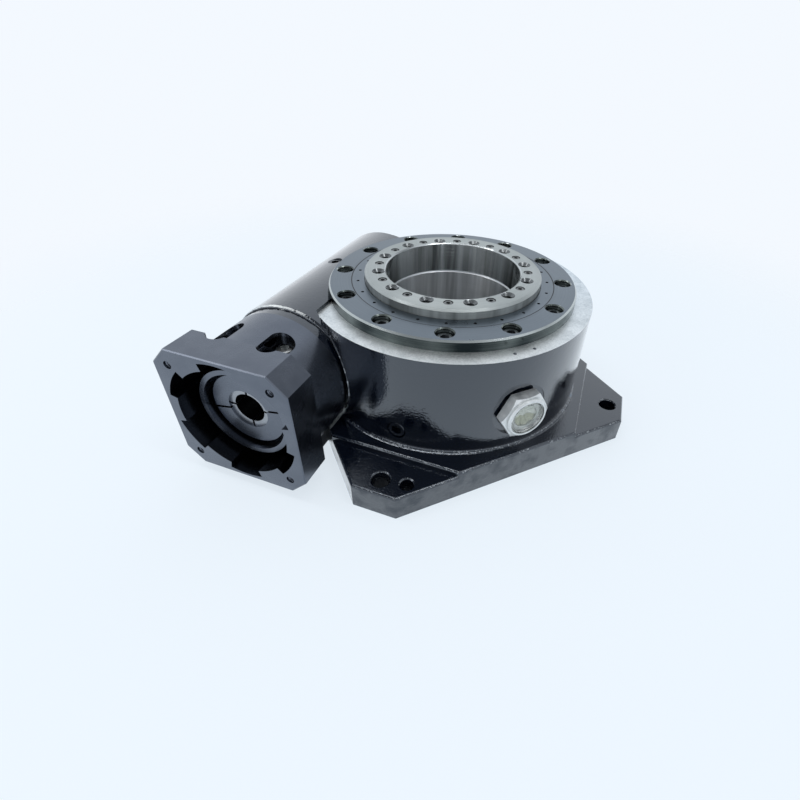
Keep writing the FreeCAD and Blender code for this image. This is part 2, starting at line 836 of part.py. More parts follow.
def make_carrier(join_seat):
    edge = d.output_edge
    top, half = d.output_bottom, d.follower_r + d.carrier_land
    flange = top - d.carrier_flange_thick
    neck = d.carrier_r - d.carrier_neck
    profile = turned("carrier_turned", [
        (d.bore_r, d.sleeve_bottom), (d.sleeve_r, d.sleeve_bottom),
        (d.sleeve_r, d.cam_height - half - d.carrier_neck), (d.carrier_r, d.cam_height - half),
        (d.carrier_r, d.cam_height + half), (neck, d.cam_height + half + d.carrier_land),
        (neck, flange - d.carrier_flange_step), (d.carrier_flange_r, flange), (d.carrier_flange_r, top),
        (d.bore_r + edge, top), (d.bore_r, top - edge),
    ])
    holes = []
    tip = join_seat - d.join_screw_length - d.tap_room
    for angle in even_angles(d.output_hole_count, HALFWAY):
        x, y = polar(d.output_circle_r, angle)
        holes.append(cylinder(screw_hole("m3", d.fit_gap), top - tip, (x, y, tip)))
    for angle in even_angles(d.follower_count):
        x, y = polar(d.carrier_r - d.stud_depth, angle)
        holes.append(cylinder(d.stud_r, d.stud_depth + d.overcut, (x, y, d.cam_height), outward(angle)))
    keep("follower_carrier", cut("follower_carrier", profile, holes))


def make_followers():
    head_r = d.stud_collar_r
    head, edge = d.stud_head, d.follower_edge
    shift = d.carrier_r
    pin_end = follower_tip - shift
    stud = turned("stud_pattern", [
        (0, -d.stud_depth), (d.stud_r, -d.stud_depth), (d.stud_r, 0), (head_r, 0),
        (head_r, d.stud_collar), (d.stud_r, d.stud_collar), (d.stud_r, pin_end - head),
        (head_r, pin_end - head), (head_r, pin_end), (0, pin_end),
    ])
    spots = []
    for angle in even_angles(d.follower_count):
        x, y = polar(shift, angle)
        spots.append(spot((x, y, d.cam_height), outward(angle)))
    keep("follower_studs", copies("follower_studs", stud, spots))
    low = follower_inner - shift
    bore_r = d.stud_r + d.fit_gap
    pocket = head + d.run_gap / 2
    for number, angle in enumerate(even_angles(d.follower_count), start=1):
        label = f"follower_roller_{number:02d}"
        x, y = polar(shift, angle)
        roller = turned(label, [
            (bore_r, low), (d.follower_r - edge, low), (d.follower_r, low + edge),
            (d.follower_r, pin_end - edge), (d.follower_r - edge, pin_end),
            (head_r + d.run_gap / 2, pin_end), (head_r + d.run_gap / 2, pin_end - pocket),
            (bore_r, pin_end - pocket),
        ])
        keep(label, place(roller, (x, y, d.cam_height), outward(angle)))


# Cam shaft: globoid blank with one groove that carries the followers round


def groove_section(cam_angle):
    """Section of the follower groove in the cam's half-plane at this angle."""
    count = d.follower_count.value
    swing = math.radians(cam_angle / count)
    turn = math.radians(cam_angle)
    rim, floor = cam_rim.value - d.groove_overreach.value, cam_root.value
    corners = []
    for radius, side in ((rim, -1), (floor, -1), (floor, 1), (rim, 1)):
        depth = d.centre_distance.value - radius
        lead = math.atan(radius / (count * depth))
        width = side * (d.follower_r.value / math.cos(lead) + d.flank_gap.value)
        across = d.centre_distance.value - radius * math.cos(swing) + width * math.sin(swing)
        along = radius * math.sin(swing) + width * math.cos(swing)
        corners.append(Vector(across * math.cos(turn), along, -across * math.sin(turn)))
    return Part.makePolygon(corners + corners[:1])


def make_camshaft():
    half, rim = d.cam_half_length.value, cam_rim.value
    centre = d.centre_distance.value
    throat = Vector(centre - rim, 0, 0)
    end_r = cam_end_r.value
    rear, front = bearing_face.value, -bearing_face.value
    width = d.roller_bearing_width.value
    relief = d.shaft_relief.value
    thread_end = front - width - d.nut_width.value - relief
    nose_start = -housing_face.value - d.nose_step.value
    nose_end = relief - d.hub_collar_front.value
    steps = [
        (d.shaft_r.value, half), (d.shaft_r.value, rear), (d.journal_r.value, rear),
        (d.journal_r.value, rear + width - relief), (0.0, rear + width - relief), (0.0, nose_end),
        (d.nose_r.value, nose_end), (d.nose_r.value, nose_start),
        (d.seal_journal_r.value, nose_start), (d.seal_journal_r.value, thread_end),
        (d.thread_r.value, thread_end), (d.thread_r.value, front - width),
        (d.journal_r.value, front - width), (d.journal_r.value, front),
        (d.shaft_r.value, front), (d.shaft_r.value, -half), (end_r, -half),
    ]
    points = [Vector(end_r, half, 0)] + [Vector(x, y, 0) for x, y in steps]
    edges = [Part.makeLine(a, b) for a, b in zip(points, points[1:])]
    edges.append(Part.Arc(points[-1], throat, points[0]).toShape())
    blank = Part.Face(Part.Wire(edges)).revolve(Vector(0, 0, 0), Vector(0, 1, 0), 360)
    blank = Part.Solid(blank) if blank.ShapeType == "Shell" else blank
    reach = math.degrees(math.asin((half + 2 * d.follower_r.value) / cam_root.value))
    turns = int(math.ceil(reach * d.follower_count.value / GROOVE_STEP))
    sections = [groove_section(GROOVE_STEP * step) for step in range(-turns, turns + 1)]
    groove = Part.makeLoft(sections, True, False)
    shaft = doc.addObject("Part::Feature", "camshaft")
    shaft.Shape = blank.cut(groove)
    keep("camshaft", place(shaft, on_cam_axis(as_size(0))))


# Cam shaft bearings, lock nut, seal, front housing and rear cap


def make_shaft_bearing(name, near_end, rotation):
    """Roller bearing whose near face stands this far along the cam axis."""
    ring_wall = (d.roller_bearing_r - d.journal_r) / 3
    inner_r = d.journal_r + ring_wall
    outer_r = d.roller_bearing_r - ring_wall
    width = d.roller_bearing_width
    base = on_cam_axis(near_end)
    inner = turned(name + "_inner", [
        (d.journal_r, 0), (inner_r, 0), (inner_r, width), (d.journal_r, width)])
    keep(name + "_inner", place(inner, base, rotation))
    outer = turned(name + "_outer", [
        (outer_r, 0), (d.roller_bearing_r, 0), (d.roller_bearing_r, width), (outer_r, width)])
    keep(name + "_outer", place(outer, base, rotation))
    roller_r = (outer_r - inner_r) / 2 - d.run_gap / 2
    length = width - 2 * d.roller_end_gap
    roller = cylinder(roller_r, length, (0, 0, d.roller_end_gap))
    spots = []
    for angle in even_angles(d.roller_bearing_count):
        x, y = polar((outer_r + inner_r) / 2, angle)
        spots.append(spot(base, rotation) * spot((x, y, 0)))
    keep(name + "_rollers", copies(name + "_rollers", roller, spots))


def make_shaft_ends():
    make_shaft_bearing("front_bearing", bearing_face, TO_MOTOR)
    make_shaft_bearing("rear_bearing", -bearing_face, TO_REAR)
    nut = turned("nut_turned", [
        (d.thread_r, 0), (d.nut_r, 0), (d.nut_r, d.nut_width), (d.thread_r, d.nut_width)])
    slots = []
    for angle in even_angles(d.nut_slot_count):
        x, y = polar(d.nut_r, angle)
        slots.append(cylinder(d.nut_slot_r, d.nut_width, (x, y, 0)))
    keep("bearing_nut", place(cut("bearing_nut", nut, slots), on_cam_axis(bearing_back), TO_MOTOR))
    lip_r = d.seal_journal_r + d.run_gap
    groove_r = lip_r + d.lip_wall
    seal = turned("input_oil_seal", [
        (lip_r, 0), (d.oil_seal_r, 0), (d.oil_seal_r, d.oil_seal_width),
        (groove_r, d.oil_seal_width), (groove_r, 2 * d.lip_height), (lip_r, d.lip_height)])
    keep("input_oil_seal", place(seal, on_cam_axis(seal_back), TO_MOTOR))
    start = d.end_seat_reach
    housing = turned("input_housing_turned", [
        (d.roller_bearing_r, 0), (d.end_seat_r, 0), (d.end_seat_r, d.tunnel_front - start),
        (d.adapter_r, d.tunnel_front - start), (d.adapter_r, housing_face - start),
        (d.oil_seal_r, housing_face - start), (d.oil_seal_r, seal_back - start),
        (d.thread_r + d.shaft_room, seal_back - start), (d.thread_r + d.shaft_room, web_back - start),
        (d.nut_r + d.nut_clear, web_back - start), (d.nut_r + d.nut_clear, bearing_back - start),
        (d.roller_bearing_r, bearing_back - start),
    ])
    holes = []
    for angle in even_angles(d.notch_count, HALFWAY):
        x, y = polar(d.adapter_screw_circle_r, angle)
        holes.append(cylinder(screw_hole("m5_low", d.hole_gap), housing_face, (x, y, 0)))
    body = cut("input_bearing_housing", housing, holes)
    keep("input_bearing_housing", place(body, on_cam_axis(start), TO_MOTOR))


def make_rear_cap():
    start = d.end_seat_reach
    face = d.tunnel_rear - start
    floor = bearing_back - start
    back = face + d.rear_cap_thick
    cap = turned("rear_cap_turned", [
        (0, floor), (d.roller_bearing_r, floor), (d.roller_bearing_r, 0), (d.end_seat_r, 0),
        (d.end_seat_r, face), (d.rear_cap_r, face), (d.rear_cap_r, back - d.ring_edge),
        (d.rear_cap_r - d.ring_edge, back), (0, back),
    ])
    holes = []
    screws = []
    seat = back - CAP_SCREWS["m5_low"][2] - d.rear_screw_sink
    for angle in even_angles(d.rear_screw_count, HALFWAY):
        x, y = polar(d.rear_screw_circle_r, angle)
        holes.append(cylinder(screw_hole("m5_low", d.hole_gap), back, (x, y, 0)))
        holes.append(cylinder(head_hole("m5_low"), back, (x, y, seat)))
        screws.append(spot(on_cam_axis(-start), TO_REAR) * spot((x, y, seat)))
    body = cut("rear_end_cap", cap, holes)
    keep("rear_end_cap", place(body, on_cam_axis(-start), TO_REAR))
    pattern = cap_screw("rear_cap_screw", "m5_low", d.rear_screw_length)
    keep("rear_cap_screws", copies("rear_cap_screws", pattern, screws))


# Motor adapter: square flange, barrel, notched pilot recess and two windows


def make_adapter():
    side, corner = d.adapter_half_side, d.adapter_half_side - d.adapter_corner
    flange = padded("adapter_flange", [
        (side, -corner), (side, corner), (corner, side), (-corner, side),
        (-side, corner), (-side, -corner), (-corner, -side), (corner, -side),
    ], d.adapter_flange)
    ease_top(flange, "Chamfer", d.adapter_flange, "Size", d.adapter_edge)
    length = d.adapter_face - housing_face
    place(flange, (0, 0, length - d.adapter_flange))
    blank = fused("adapter_blank", [flange, cylinder(d.adapter_r, length - d.adapter_flange + d.overcut)])
    wall = d.adapter_wall
    tools = [
        cylinder(d.pilot_r, length, (0, 0, wall)),
        cylinder(d.seal_journal_r + d.adapter_eye, length),
    ]
    screws = []
    seat = wall - CAP_SCREWS["m5_low"][2]
    for angle in even_angles(d.notch_count, HALFWAY):
        turn = Rotation(Vector(0, 0, 1), angle - d.notch_angle.value / 2)
        tools.append(cylinder(d.notch_r, length, (0, 0, wall), turn, d.notch_angle))
        x, y = polar(d.adapter_screw_circle_r, angle)
        tools.append(cylinder(screw_hole("m5_low", d.hole_gap), length, (x, y, 0)))
        tools.append(cylinder(head_hole("m5_low"), wall, (x, y, seat)))
        screws.append(spot(on_cam_axis(housing_face), TO_MOTOR) * spot((x, y, seat)))
    for x_side in (-1, 1):
        for y_side in (-1, 1):
            centre = (d.motor_hole_offset * x_side, d.motor_hole_offset * y_side,
                      length - d.motor_hole_depth)
            tools.append(cylinder(d.motor_hole_r, d.motor_hole_depth, centre))
    for x_side in (-1, 1):
        tools += window(d.window_across * x_side)
    body = cut("motor_adapter", blank, tools)
    keep("motor_adapter", place(body, on_cam_axis(housing_face), TO_MOTOR))
    pattern = cap_screw("adapter_screw", "m5_low", d.adapter_screw_length)
    keep("adapter_screws", copies("adapter_screws", pattern, screws))


def window(across):
    """Upright slot with round ends through the top of the barrel."""
    front, rear = d.window_front - housing_face, d.window_rear - housing_face
    half, tall = d.window_half_width, d.adapter_r
    floor = d.hub_r / 2
    return [
        cylinder(half, tall, (across, floor, front), TO_REAR),
        cylinder(half, tall, (across, floor, rear), TO_REAR),
        block((across - half, floor, rear), (across + half, floor + tall, front)),
    ]


# Coupling hub on the cam shaft's nose, with its split bush and clamp screws


def make_coupling():
    start = d.hub_rear
    face, boss = d.hub_face - start, d.hub_boss_face - start
    groove = face - d.hub_groove_depth
    collar = d.hub_collar_front - start
    hub = turned("hub_turned", [
        (d.nose_r, 0), (d.hub_collar_r, 0), (d.hub_collar_r, collar), (d.hub_r, collar),
        (d.hub_r, face), (d.hub_groove_outer_r, face), (d.hub_groove_outer_r, groove),
        (d.hub_groove_inner_r, groove), (d.hub_groove_inner_r, boss), (d.bush_r, boss),
        (d.bush_r, collar), (d.nose_r, collar),
    ])
    half_slit = d.hub_slit / 2
    reach = d.hub_groove_inner_r + d.overcut
    turn = math.radians(d.hub_slit_turn.value)
    corner_x = -reach * math.cos(turn) + half_slit * math.sin(turn)
    corner_y = -reach * math.sin(turn) - half_slit * math.cos(turn)
    front_slit = block((0, 0, 0), (2 * reach, d.hub_slit, face - groove))
    place(front_slit, (corner_x, corner_y, groove), Rotation(Vector(0, 0, 1), d.hub_slit_turn.value))
    tools = [
        front_slit,
        block((-d.hub_collar_r, -half_slit, 0), (d.hub_collar_r, half_slit, collar)),
    ]
    screws = []
    seat = d.clamp_head_top - CAP_SCREWS["m6"][2]
    height = d.clamp_screw_reach - start
    for side in (-1, 1):
        across = d.clamp_screw_across * side
        tools.append(cylinder(screw_hole("m6", d.hole_gap), 2 * d.hub_collar_r,
                              (across, d.hub_collar_r, height), TO_MOTOR))
        tools.append(cylinder(head_hole("m6"), d.hub_collar_r, (across, seat, height), TO_REAR))
        screws.append(spot(on_cam_axis(start), TO_MOTOR) * spot((across, seat, height), TO_REAR))
    body = cut("coupling_hub", hub, tools)
    keep("coupling_hub", place(body, on_cam_axis(start), TO_MOTOR))
    pattern = cap_screw("coupling_screw", "m6", d.clamp_screw_length)
    keep("coupling_screws", copies("coupling_screws", pattern, screws))
    bush_back = d.hub_collar_front + d.bush_gap
    length = d.bush_face - bush_back
    tube = turned("bush_turned", [
        (d.motor_shaft_r, 0), (d.bush_r, 0), (d.bush_r, length), (d.motor_shaft_r, length)])
    slits = [
        block((-d.bush_r, -half_slit, d.bush_collar), (d.bush_r, half_slit, length)),
        block((-half_slit, -d.bush_r, d.bush_collar), (half_slit, d.bush_r, length)),
    ]
    bush = cut("split_bush", tube, slits)
    keep("split_bush", place(bush, on_cam_axis(bush_back), TO_MOTOR))


# Bottom cover and its oil seal


def make_bottom():
    cover = turned("cover_turned", [
        (d.cover_seal_r, d.cover_bottom), (d.cover_r, d.cover_bottom),
        (d.cover_r, d.cover_top), (d.cover_seal_r, d.cover_top)])
    low_seat = d.cover_bottom + CAP_SCREWS["m5_low"][2] + d.cover_screw_sink
    holes = []
    screws = []
    down = Rotation(Vector(1, 0, 0), 180)
    for angle in even_angles(d.cover_screw_count, HALFWAY):
        x, y = polar(d.cover_screw_circle_r, angle)
        holes.append(cylinder(screw_hole("m5_low", d.hole_gap), d.cover_top, (x, y, d.cover_bottom)))
        holes.append(cylinder(head_hole("m5_low"), low_seat, (x, y, 0)))
        screws.append(spot((x, y, low_seat), down))
    keep("bottom_cover", cut("bottom_cover", cover, holes))
    pattern = cap_screw("cover_screw", "m5_low", d.cover_screw_length)
    keep("bottom_cover_screws", copies("bottom_cover_screws", pattern, screws))
    lip_r = d.sleeve_r + d.run_gap
    groove_r = lip_r + d.lip_wall
    low, high = d.cover_bottom + d.cover_seal_inset, d.cover_top - d.cover_seal_inset
    keep("bottom_oil_seal", turned("bottom_oil_seal", [
        (lip_r, high), (lip_r, high - d.lip_height), (groove_r, high - 2 * d.lip_height), (groove_r, low),
        (d.cover_seal_r, low), (d.cover_seal_r, high)]))


# Oil sight glass and plugs


def make_fittings():
    sight = outward(d.sight_angle.value)
    x, y = polar(d.sight_seat, d.sight_angle.value)
    seat = (x, y, d.cam_height)
    washer, ease = d.sight_washer, d.sight_ease
    tail = d.sight_seat - chamber_r
    keep("sight_gasket", place(turned("sight_gasket", [
        (d.sight_thread_r, 0), (d.sight_rim_r, 0), (d.sight_rim_r, washer),
        (d.sight_thread_r, washer)]), seat, sight))
    top = washer + d.sight_hex_thick
    rim = top + d.sight_rim
    window_floor = top - d.sight_dish
    lens_top = rim - d.sight_lens_sink
    flat_r = d.sight_hex / 2
    corner_r = d.sight_hex / math.sqrt(3) + d.fit_gap
    drop = (corner_r - flat_r) * math.tan(math.radians(30))
    limit = turned("sight_hex_limit", [
        (0, washer), (corner_r, washer), (corner_r, top - drop), (flat_r, top), (0, top)])
    hex_head = doc.addObject("Part::Common", "sight_hex_head")
    flat_on_top = Rotation(Vector(0, 0, 1), 30)
    hex_head.Base = hexagon(d.sight_hex, d.sight_hex_thick, (0, 0, washer), flat_on_top)
    hex_head.Tool = limit
    collar = turned("sight_collar", [
        (0, washer), (d.sight_rim_r, washer), (d.sight_rim_r, rim - ease),
        (d.sight_rim_r - ease, rim), (0, rim)])
    thread = cylinder(d.sight_thread_r, tail + washer, (0, 0, -tail))
    body = fused("sight_blank", [hex_head, collar, thread])
    dish = cylinder(d.sight_lens_r + d.fit_gap, rim, (0, 0, window_floor))
    oil_way = cylinder(d.sight_thread_r - d.sight_tail_wall, tail + rim, (0, 0, -tail))
    keep("sight_glass_body", place(cut("sight_glass_body", body, [dish, oil_way]), seat, sight))
    keep("sight_glass_lens", place(turned("sight_glass_lens", [
        (0, window_floor), (d.sight_lens_r, window_floor), (d.sight_lens_r, lens_top - ease),
        (d.sight_lens_r - ease, lens_top), (0, lens_top)]), seat, sight))
    drain = outward(d.drain_angle.value)
    length, edge = d.drain_length, d.drain_edge
    drain_body = turned("drain_turned", [
        (0, 0), (d.drain_r, 0), (d.drain_r, length - edge), (d.drain_r - edge, length), (0, length)])
    key_floor = (0, 0, length - d.plug_key_depth)
    plug = cut("drain_plug", drain_body, [hexagon(d.drain_key, length, key_floor)])
    drain_x, drain_y = polar(d.drum_r - d.drain_sink - length, d.drain_angle.value)
    keep("drain_plug", place(plug, (drain_x, drain_y, d.drain_height), drain))
    offset = d.filler_across - d.centre_distance
    crown = d.cam_height + root(d.tunnel_r * d.tunnel_r - offset * offset)
    length = d.filler_length
    key_floor = (0, 0, length - d.plug_key_depth)
    filler = cut("filler_plug", cylinder(d.filler_r, length), [hexagon(d.filler_key, length, key_floor)])
    base = crown - length - d.filler_sink
    keep("filler_plug", place(filler, (-d.filler_across, -d.filler_reach, base)))


def check_document():
    """Stop if anything failed to build."""
    doc.recompute()
    for item in doc.Objects:
        if "Invalid" in item.State or "Error" in item.State:
            raise RuntimeError(f"{item.Label} did not build")
    for label, piece in parts.items():
        if piece.Shape.isNull() or not piece.Shape.isValid() or not piece.Shape.Solids:
            raise RuntimeError(f"{label} is not a valid solid")


make_housing()
make_main_bearing()
make_carrier(make_output_ring())
make_followers()
make_camshaft()
make_shaft_ends()
make_rear_cap()
make_adapter()
make_coupling()
make_bottom()
make_fittings()
check_document()

os.makedirs("parts", exist_ok=True)
for node, piece in parts.items():
    piece.Shape.exportStep(f"parts/{node}.step")
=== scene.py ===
import json
import math

import bmesh
import bpy
from mathutils import Matrix, Vector, noise

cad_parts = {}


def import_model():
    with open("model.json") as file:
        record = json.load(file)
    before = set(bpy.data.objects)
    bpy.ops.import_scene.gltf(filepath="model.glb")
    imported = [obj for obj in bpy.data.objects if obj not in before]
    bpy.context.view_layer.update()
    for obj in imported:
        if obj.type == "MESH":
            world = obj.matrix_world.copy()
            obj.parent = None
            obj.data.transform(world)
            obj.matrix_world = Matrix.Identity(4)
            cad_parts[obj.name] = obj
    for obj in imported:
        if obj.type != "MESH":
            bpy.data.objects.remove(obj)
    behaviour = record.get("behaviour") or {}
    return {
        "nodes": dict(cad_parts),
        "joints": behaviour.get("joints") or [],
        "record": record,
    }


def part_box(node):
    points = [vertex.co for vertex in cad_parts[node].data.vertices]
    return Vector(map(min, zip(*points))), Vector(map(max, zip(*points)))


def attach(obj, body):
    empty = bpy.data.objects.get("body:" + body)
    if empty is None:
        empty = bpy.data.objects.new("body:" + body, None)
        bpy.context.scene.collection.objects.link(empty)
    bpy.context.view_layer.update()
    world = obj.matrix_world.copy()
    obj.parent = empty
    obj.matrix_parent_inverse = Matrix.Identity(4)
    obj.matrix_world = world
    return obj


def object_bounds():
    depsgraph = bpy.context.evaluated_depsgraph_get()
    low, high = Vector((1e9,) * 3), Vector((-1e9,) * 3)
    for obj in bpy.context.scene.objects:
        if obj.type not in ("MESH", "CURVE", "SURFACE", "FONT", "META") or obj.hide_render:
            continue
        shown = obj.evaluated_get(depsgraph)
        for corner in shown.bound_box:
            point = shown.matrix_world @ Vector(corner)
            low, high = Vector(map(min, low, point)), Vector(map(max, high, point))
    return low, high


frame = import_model()
nodes = frame["nodes"]
record = frame["record"]
cad_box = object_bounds()
MM = 0.001

# Faces and axes of the object, from the frame's boxes, mounts and joints
MOUNTS = {mount["name"]: mount for mount in record["mounts"]}
JOINTS = {joint["name"]: joint for joint in frame["joints"]}
CAM_AXIS = Vector(JOINTS["input_spin"]["pos_m"])
CAM_CENTRE = (CAM_AXIS.x, CAM_AXIS.z)
RING_LOW, RING_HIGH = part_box("bearing_outer_ring")
ADAPTER_LOW, ADAPTER_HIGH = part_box("motor_adapter")
FLANGE_LOW, FLANGE_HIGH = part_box("input_bearing_housing")
LENS_LOW, LENS_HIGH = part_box("sight_glass_lens")
OUTPUT_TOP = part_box("output_ring")[1].z
CAP_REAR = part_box("rear_end_cap")[1].y
SEAL_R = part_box("dust_seal")[1].x

# Steps between those faces and the casting's own
DRUM_TOP = RING_LOW.z + 6.0 * MM
DRUM_R = RING_HIGH.x + 11.5 * MM
TUNNEL_FRONT = ADAPTER_HIGH.y + 6.0 * MM
TUNNEL_REAR = CAP_REAR - 8.0 * MM
TUNNEL_R = (FLANGE_HIGH.x - FLANGE_LOW.x) / 2 + 1.5 * MM
TUNNEL_EDGE = 2.0 * MM
RELIEF_R = TUNNEL_R + 0.5 * MM
PLATE_TOP = 20.5 * MM
PLATE_SIDE = 204.0 * MM
PLATE_CORNER = PLATE_SIDE * math.sqrt(0.5)
PILOT_R = 40.0 * MM
BORE_R = MOUNTS["hollow_bore"]["dims"]["r_mm"] * MM
SHAFT_R = MOUNTS["motor_shaft_clamp"]["dims"]["r_mm"] * MM
OUTPUT_CIRCLE = MOUNTS["output_bolts"]["dims"]["pcd_mm"] / 2 * MM


# Shader building blocks


class Graph:
    """A node tree under construction, for a material or the world."""

    def __init__(self, owner):
        owner.use_nodes = True
        self.tree = owner.node_tree
        self.coords = self.tree.nodes.new("ShaderNodeTexCoord")

    def node(self, kind, **inputs):
        """Add a node and feed its inputs by name."""
        made = self.tree.nodes.new(kind)
        for name, value in inputs.items():
            self.feed(made.inputs[name], value)
        return made

    def feed(self, socket, value):
        """Link another node's socket, or set a plain value."""
        if isinstance(value, bpy.types.NodeSocket):
            self.tree.links.new(value, socket)
        else:
            socket.default_value = value

    def math(self, operation, first, second=0.0):
        """One operation on two values or sockets."""
        made = self.tree.nodes.new("ShaderNodeMath")
        made.operation = operation
        self.feed(made.inputs[0], first)
        self.feed(made.inputs[1], second)
        return made.outputs[0]

    def both(self, *masks):
        """1 where every mask is 1."""
        result = masks[0]
        for mask in masks[1:]:
            result = self.math("MULTIPLY", result, mask)
        return result

    def either(self, *masks):
        """1 where any mask is 1."""
        result = masks[0]
        for mask in masks[1:]:
            result = self.math("MAXIMUM", result, mask)
        return result

    def other(self, mask):
        """1 where the mask is 0."""
        return self.math("SUBTRACT", 1.0, mask)

    def above(self, value, limit):
        return self.math("GREATER_THAN", value, limit)

    def below(self, value, limit):
        return self.math("LESS_THAN", value, limit)

    def near(self, value, target, reach):
        """1 where a value is within reach of a target."""
        return self.below(self.math("ABSOLUTE", self.math("SUBTRACT", value, target)), reach)

    def mean(self, first, second, share=0.5):
        """Two fields added, the first with this share."""
        first_part = self.math("MULTIPLY", first, share)
        second_part = self.math("MULTIPLY", second, 1.0 - share)
        return self.math("ADD", first_part, second_part)

    def axes(self, output="Object"):
        """The three coordinates of the point, or of its normal."""
        return self.node("ShaderNodeSeparateXYZ", Vector=self.coords.outputs[output]).outputs

    def point(self, x, y, z):
        return self.node("ShaderNodeCombineXYZ", X=x, Y=y, Z=z).outputs[0]

    def noise(self, size, detail=3.0, roughness=0.5, vector=None):
        """Noise whose patches are about this size."""
        made = self.node("ShaderNodeTexNoise", Scale=1.0 / size, Detail=detail, Roughness=roughness)
        self.feed(made.inputs["Vector"], vector or self.coords.outputs["Object"])
        return made.outputs["Fac"]

    def ramp(self, value, low, high, start=0.3, end=0.7, smooth=False):
        """Stretch a field from its start and end to two plain values."""
        made = self.node("ShaderNodeMapRange", Value=value)
        made.interpolation_type = "SMOOTHSTEP" if smooth else "LINEAR"
        for socket, item in (("From Min", start), ("From Max", end), ("To Min", low), ("To Max", high)):
            made.inputs[socket].default_value = item
        return made.outputs["Result"]

    def blend(self, factor, first, second):
        """Mix two colours, given as triples or sockets."""
        made = self.tree.nodes.new("ShaderNodeMix")
        made.data_type = "RGBA"
        colour_sockets = (made.inputs[0], made.inputs[6], made.inputs[7])
        for socket, value in zip(colour_sockets, (factor, first, second)):
            self.feed(socket, (*value, 1.0) if isinstance(value, tuple) else value)
        return made.outputs[2]

    def seen_directly(self):
        """1 for rays from the camera, from gloss or through glass, 0 for light on the object."""
        path = self.node("ShaderNodeLightPath").outputs
        return self.either(path["Is Camera Ray"], path["Is Glossy Ray"], path["Is Transmission Ray"])


class Shader(Graph):
    """A node material under construction, with one principled shader."""

    def __init__(self, name, **values):
        self.material = bpy.data.materials.new(name)
        super().__init__(self.material)
        self.main = self.tree.nodes["Principled BSDF"]
        for key, value in values.items():
            socket = key.replace("_", " ").title().replace("Ior", "IOR")
            self.main.inputs[socket].default_value = value

    def drive(self, name, value):
        """Link a value into one of the main shader's sockets."""
        self.tree.links.new(value, self.main.inputs[name])

    def bump(self, height, distance, strength=1.0):
        """Raise the surface by a height field, over any bump already there."""
        made = self.node("ShaderNodeBump", Height=height)
        made.inputs["Distance"].default_value = distance
        made.inputs["Strength"].default_value = strength
        earlier = self.main.inputs["Normal"].links
        if earlier:
            self.tree.links.new(earlier[0].from_socket, made.inputs["Normal"])
        self.drive("Normal", made.outputs["Normal"])

    def reach(self, axis, centre):
        """Distance from an axis through a centre, and the coordinate along it."""
        x, y, z = self.axes()
        along, across = (z, (x, y)) if axis == "Z" else (y, (x, z))
        squares = []
        for value, middle in zip(across, centre):
            step = self.math("SUBTRACT", value, middle)
            squares.append(self.math("MULTIPLY", step, step))
        return self.math("SQRT", self.math("ADD", *squares)), along

    def turning_lines(self, axis, centre, pitch):
        """Noise that runs round an axis, as a lathe tool leaves it."""
        radius, along = self.reach(axis, centre)
        return self.noise(pitch, 2.0, 0.6, self.point(radius, along, 0.0))


# Materials


# How squarely a face looks along an axis, where 1 is square on
SQUARE = 0.99
FLAT = 0.9
WALL = 0.5

# Gloss of the black enamel, a little cooler than white
ENAMEL_COAT = {"coat_ior": 1.7, "specular_tint": (0.55, 0.75, 1.0, 1.0)}

# Painted shade: inside holes and bores, on the walls within the seal, and in the adapter's recess; the
# same dark marks the seal's joint line
HOLE_SHADE = (0.02, 0.022, 0.024)
JOINT_AND_SHADE_DARK = (0.012, 0.013, 0.015)
RECESS_SHADE = (0.012, 0.014, 0.018)


def enamel(s, painted):
    """Gloss black paint where the mask is 1, over a casting that is rougher near its foot."""
    z = s.axes()[2]
    swell = s.noise(12.0 * MM, 2.0, 0.5)
    peel = s.noise(1.2 * MM, 1.0, 0.5)
    sand = s.noise(0.9 * MM, 2.0, 0.6)
    low = s.ramp(z, 1.0, 0.3, PLATE_TOP, PLATE_TOP + 12.0 * MM)
    s.bump(s.both(swell, painted), 0.12 * MM, 0.35)
    s.bump(s.both(peel, painted), 0.17 * MM, 0.5)
    s.bump(s.both(sand, painted, low), 0.18 * MM, 0.5)
    s.drive("Coat Normal", s.main.inputs["Normal"].links[0].from_socket)
    shade = s.ramp(s.noise(16.0 * MM), 0.0, 1.0)
    colour = s.blend(shade, (0.0010, 0.0028, 0.0080), (0.0020, 0.0042, 0.0110))
    return colour, s.ramp(s.noise(9.0 * MM, 4.0, 0.6), 0.05, 0.14)


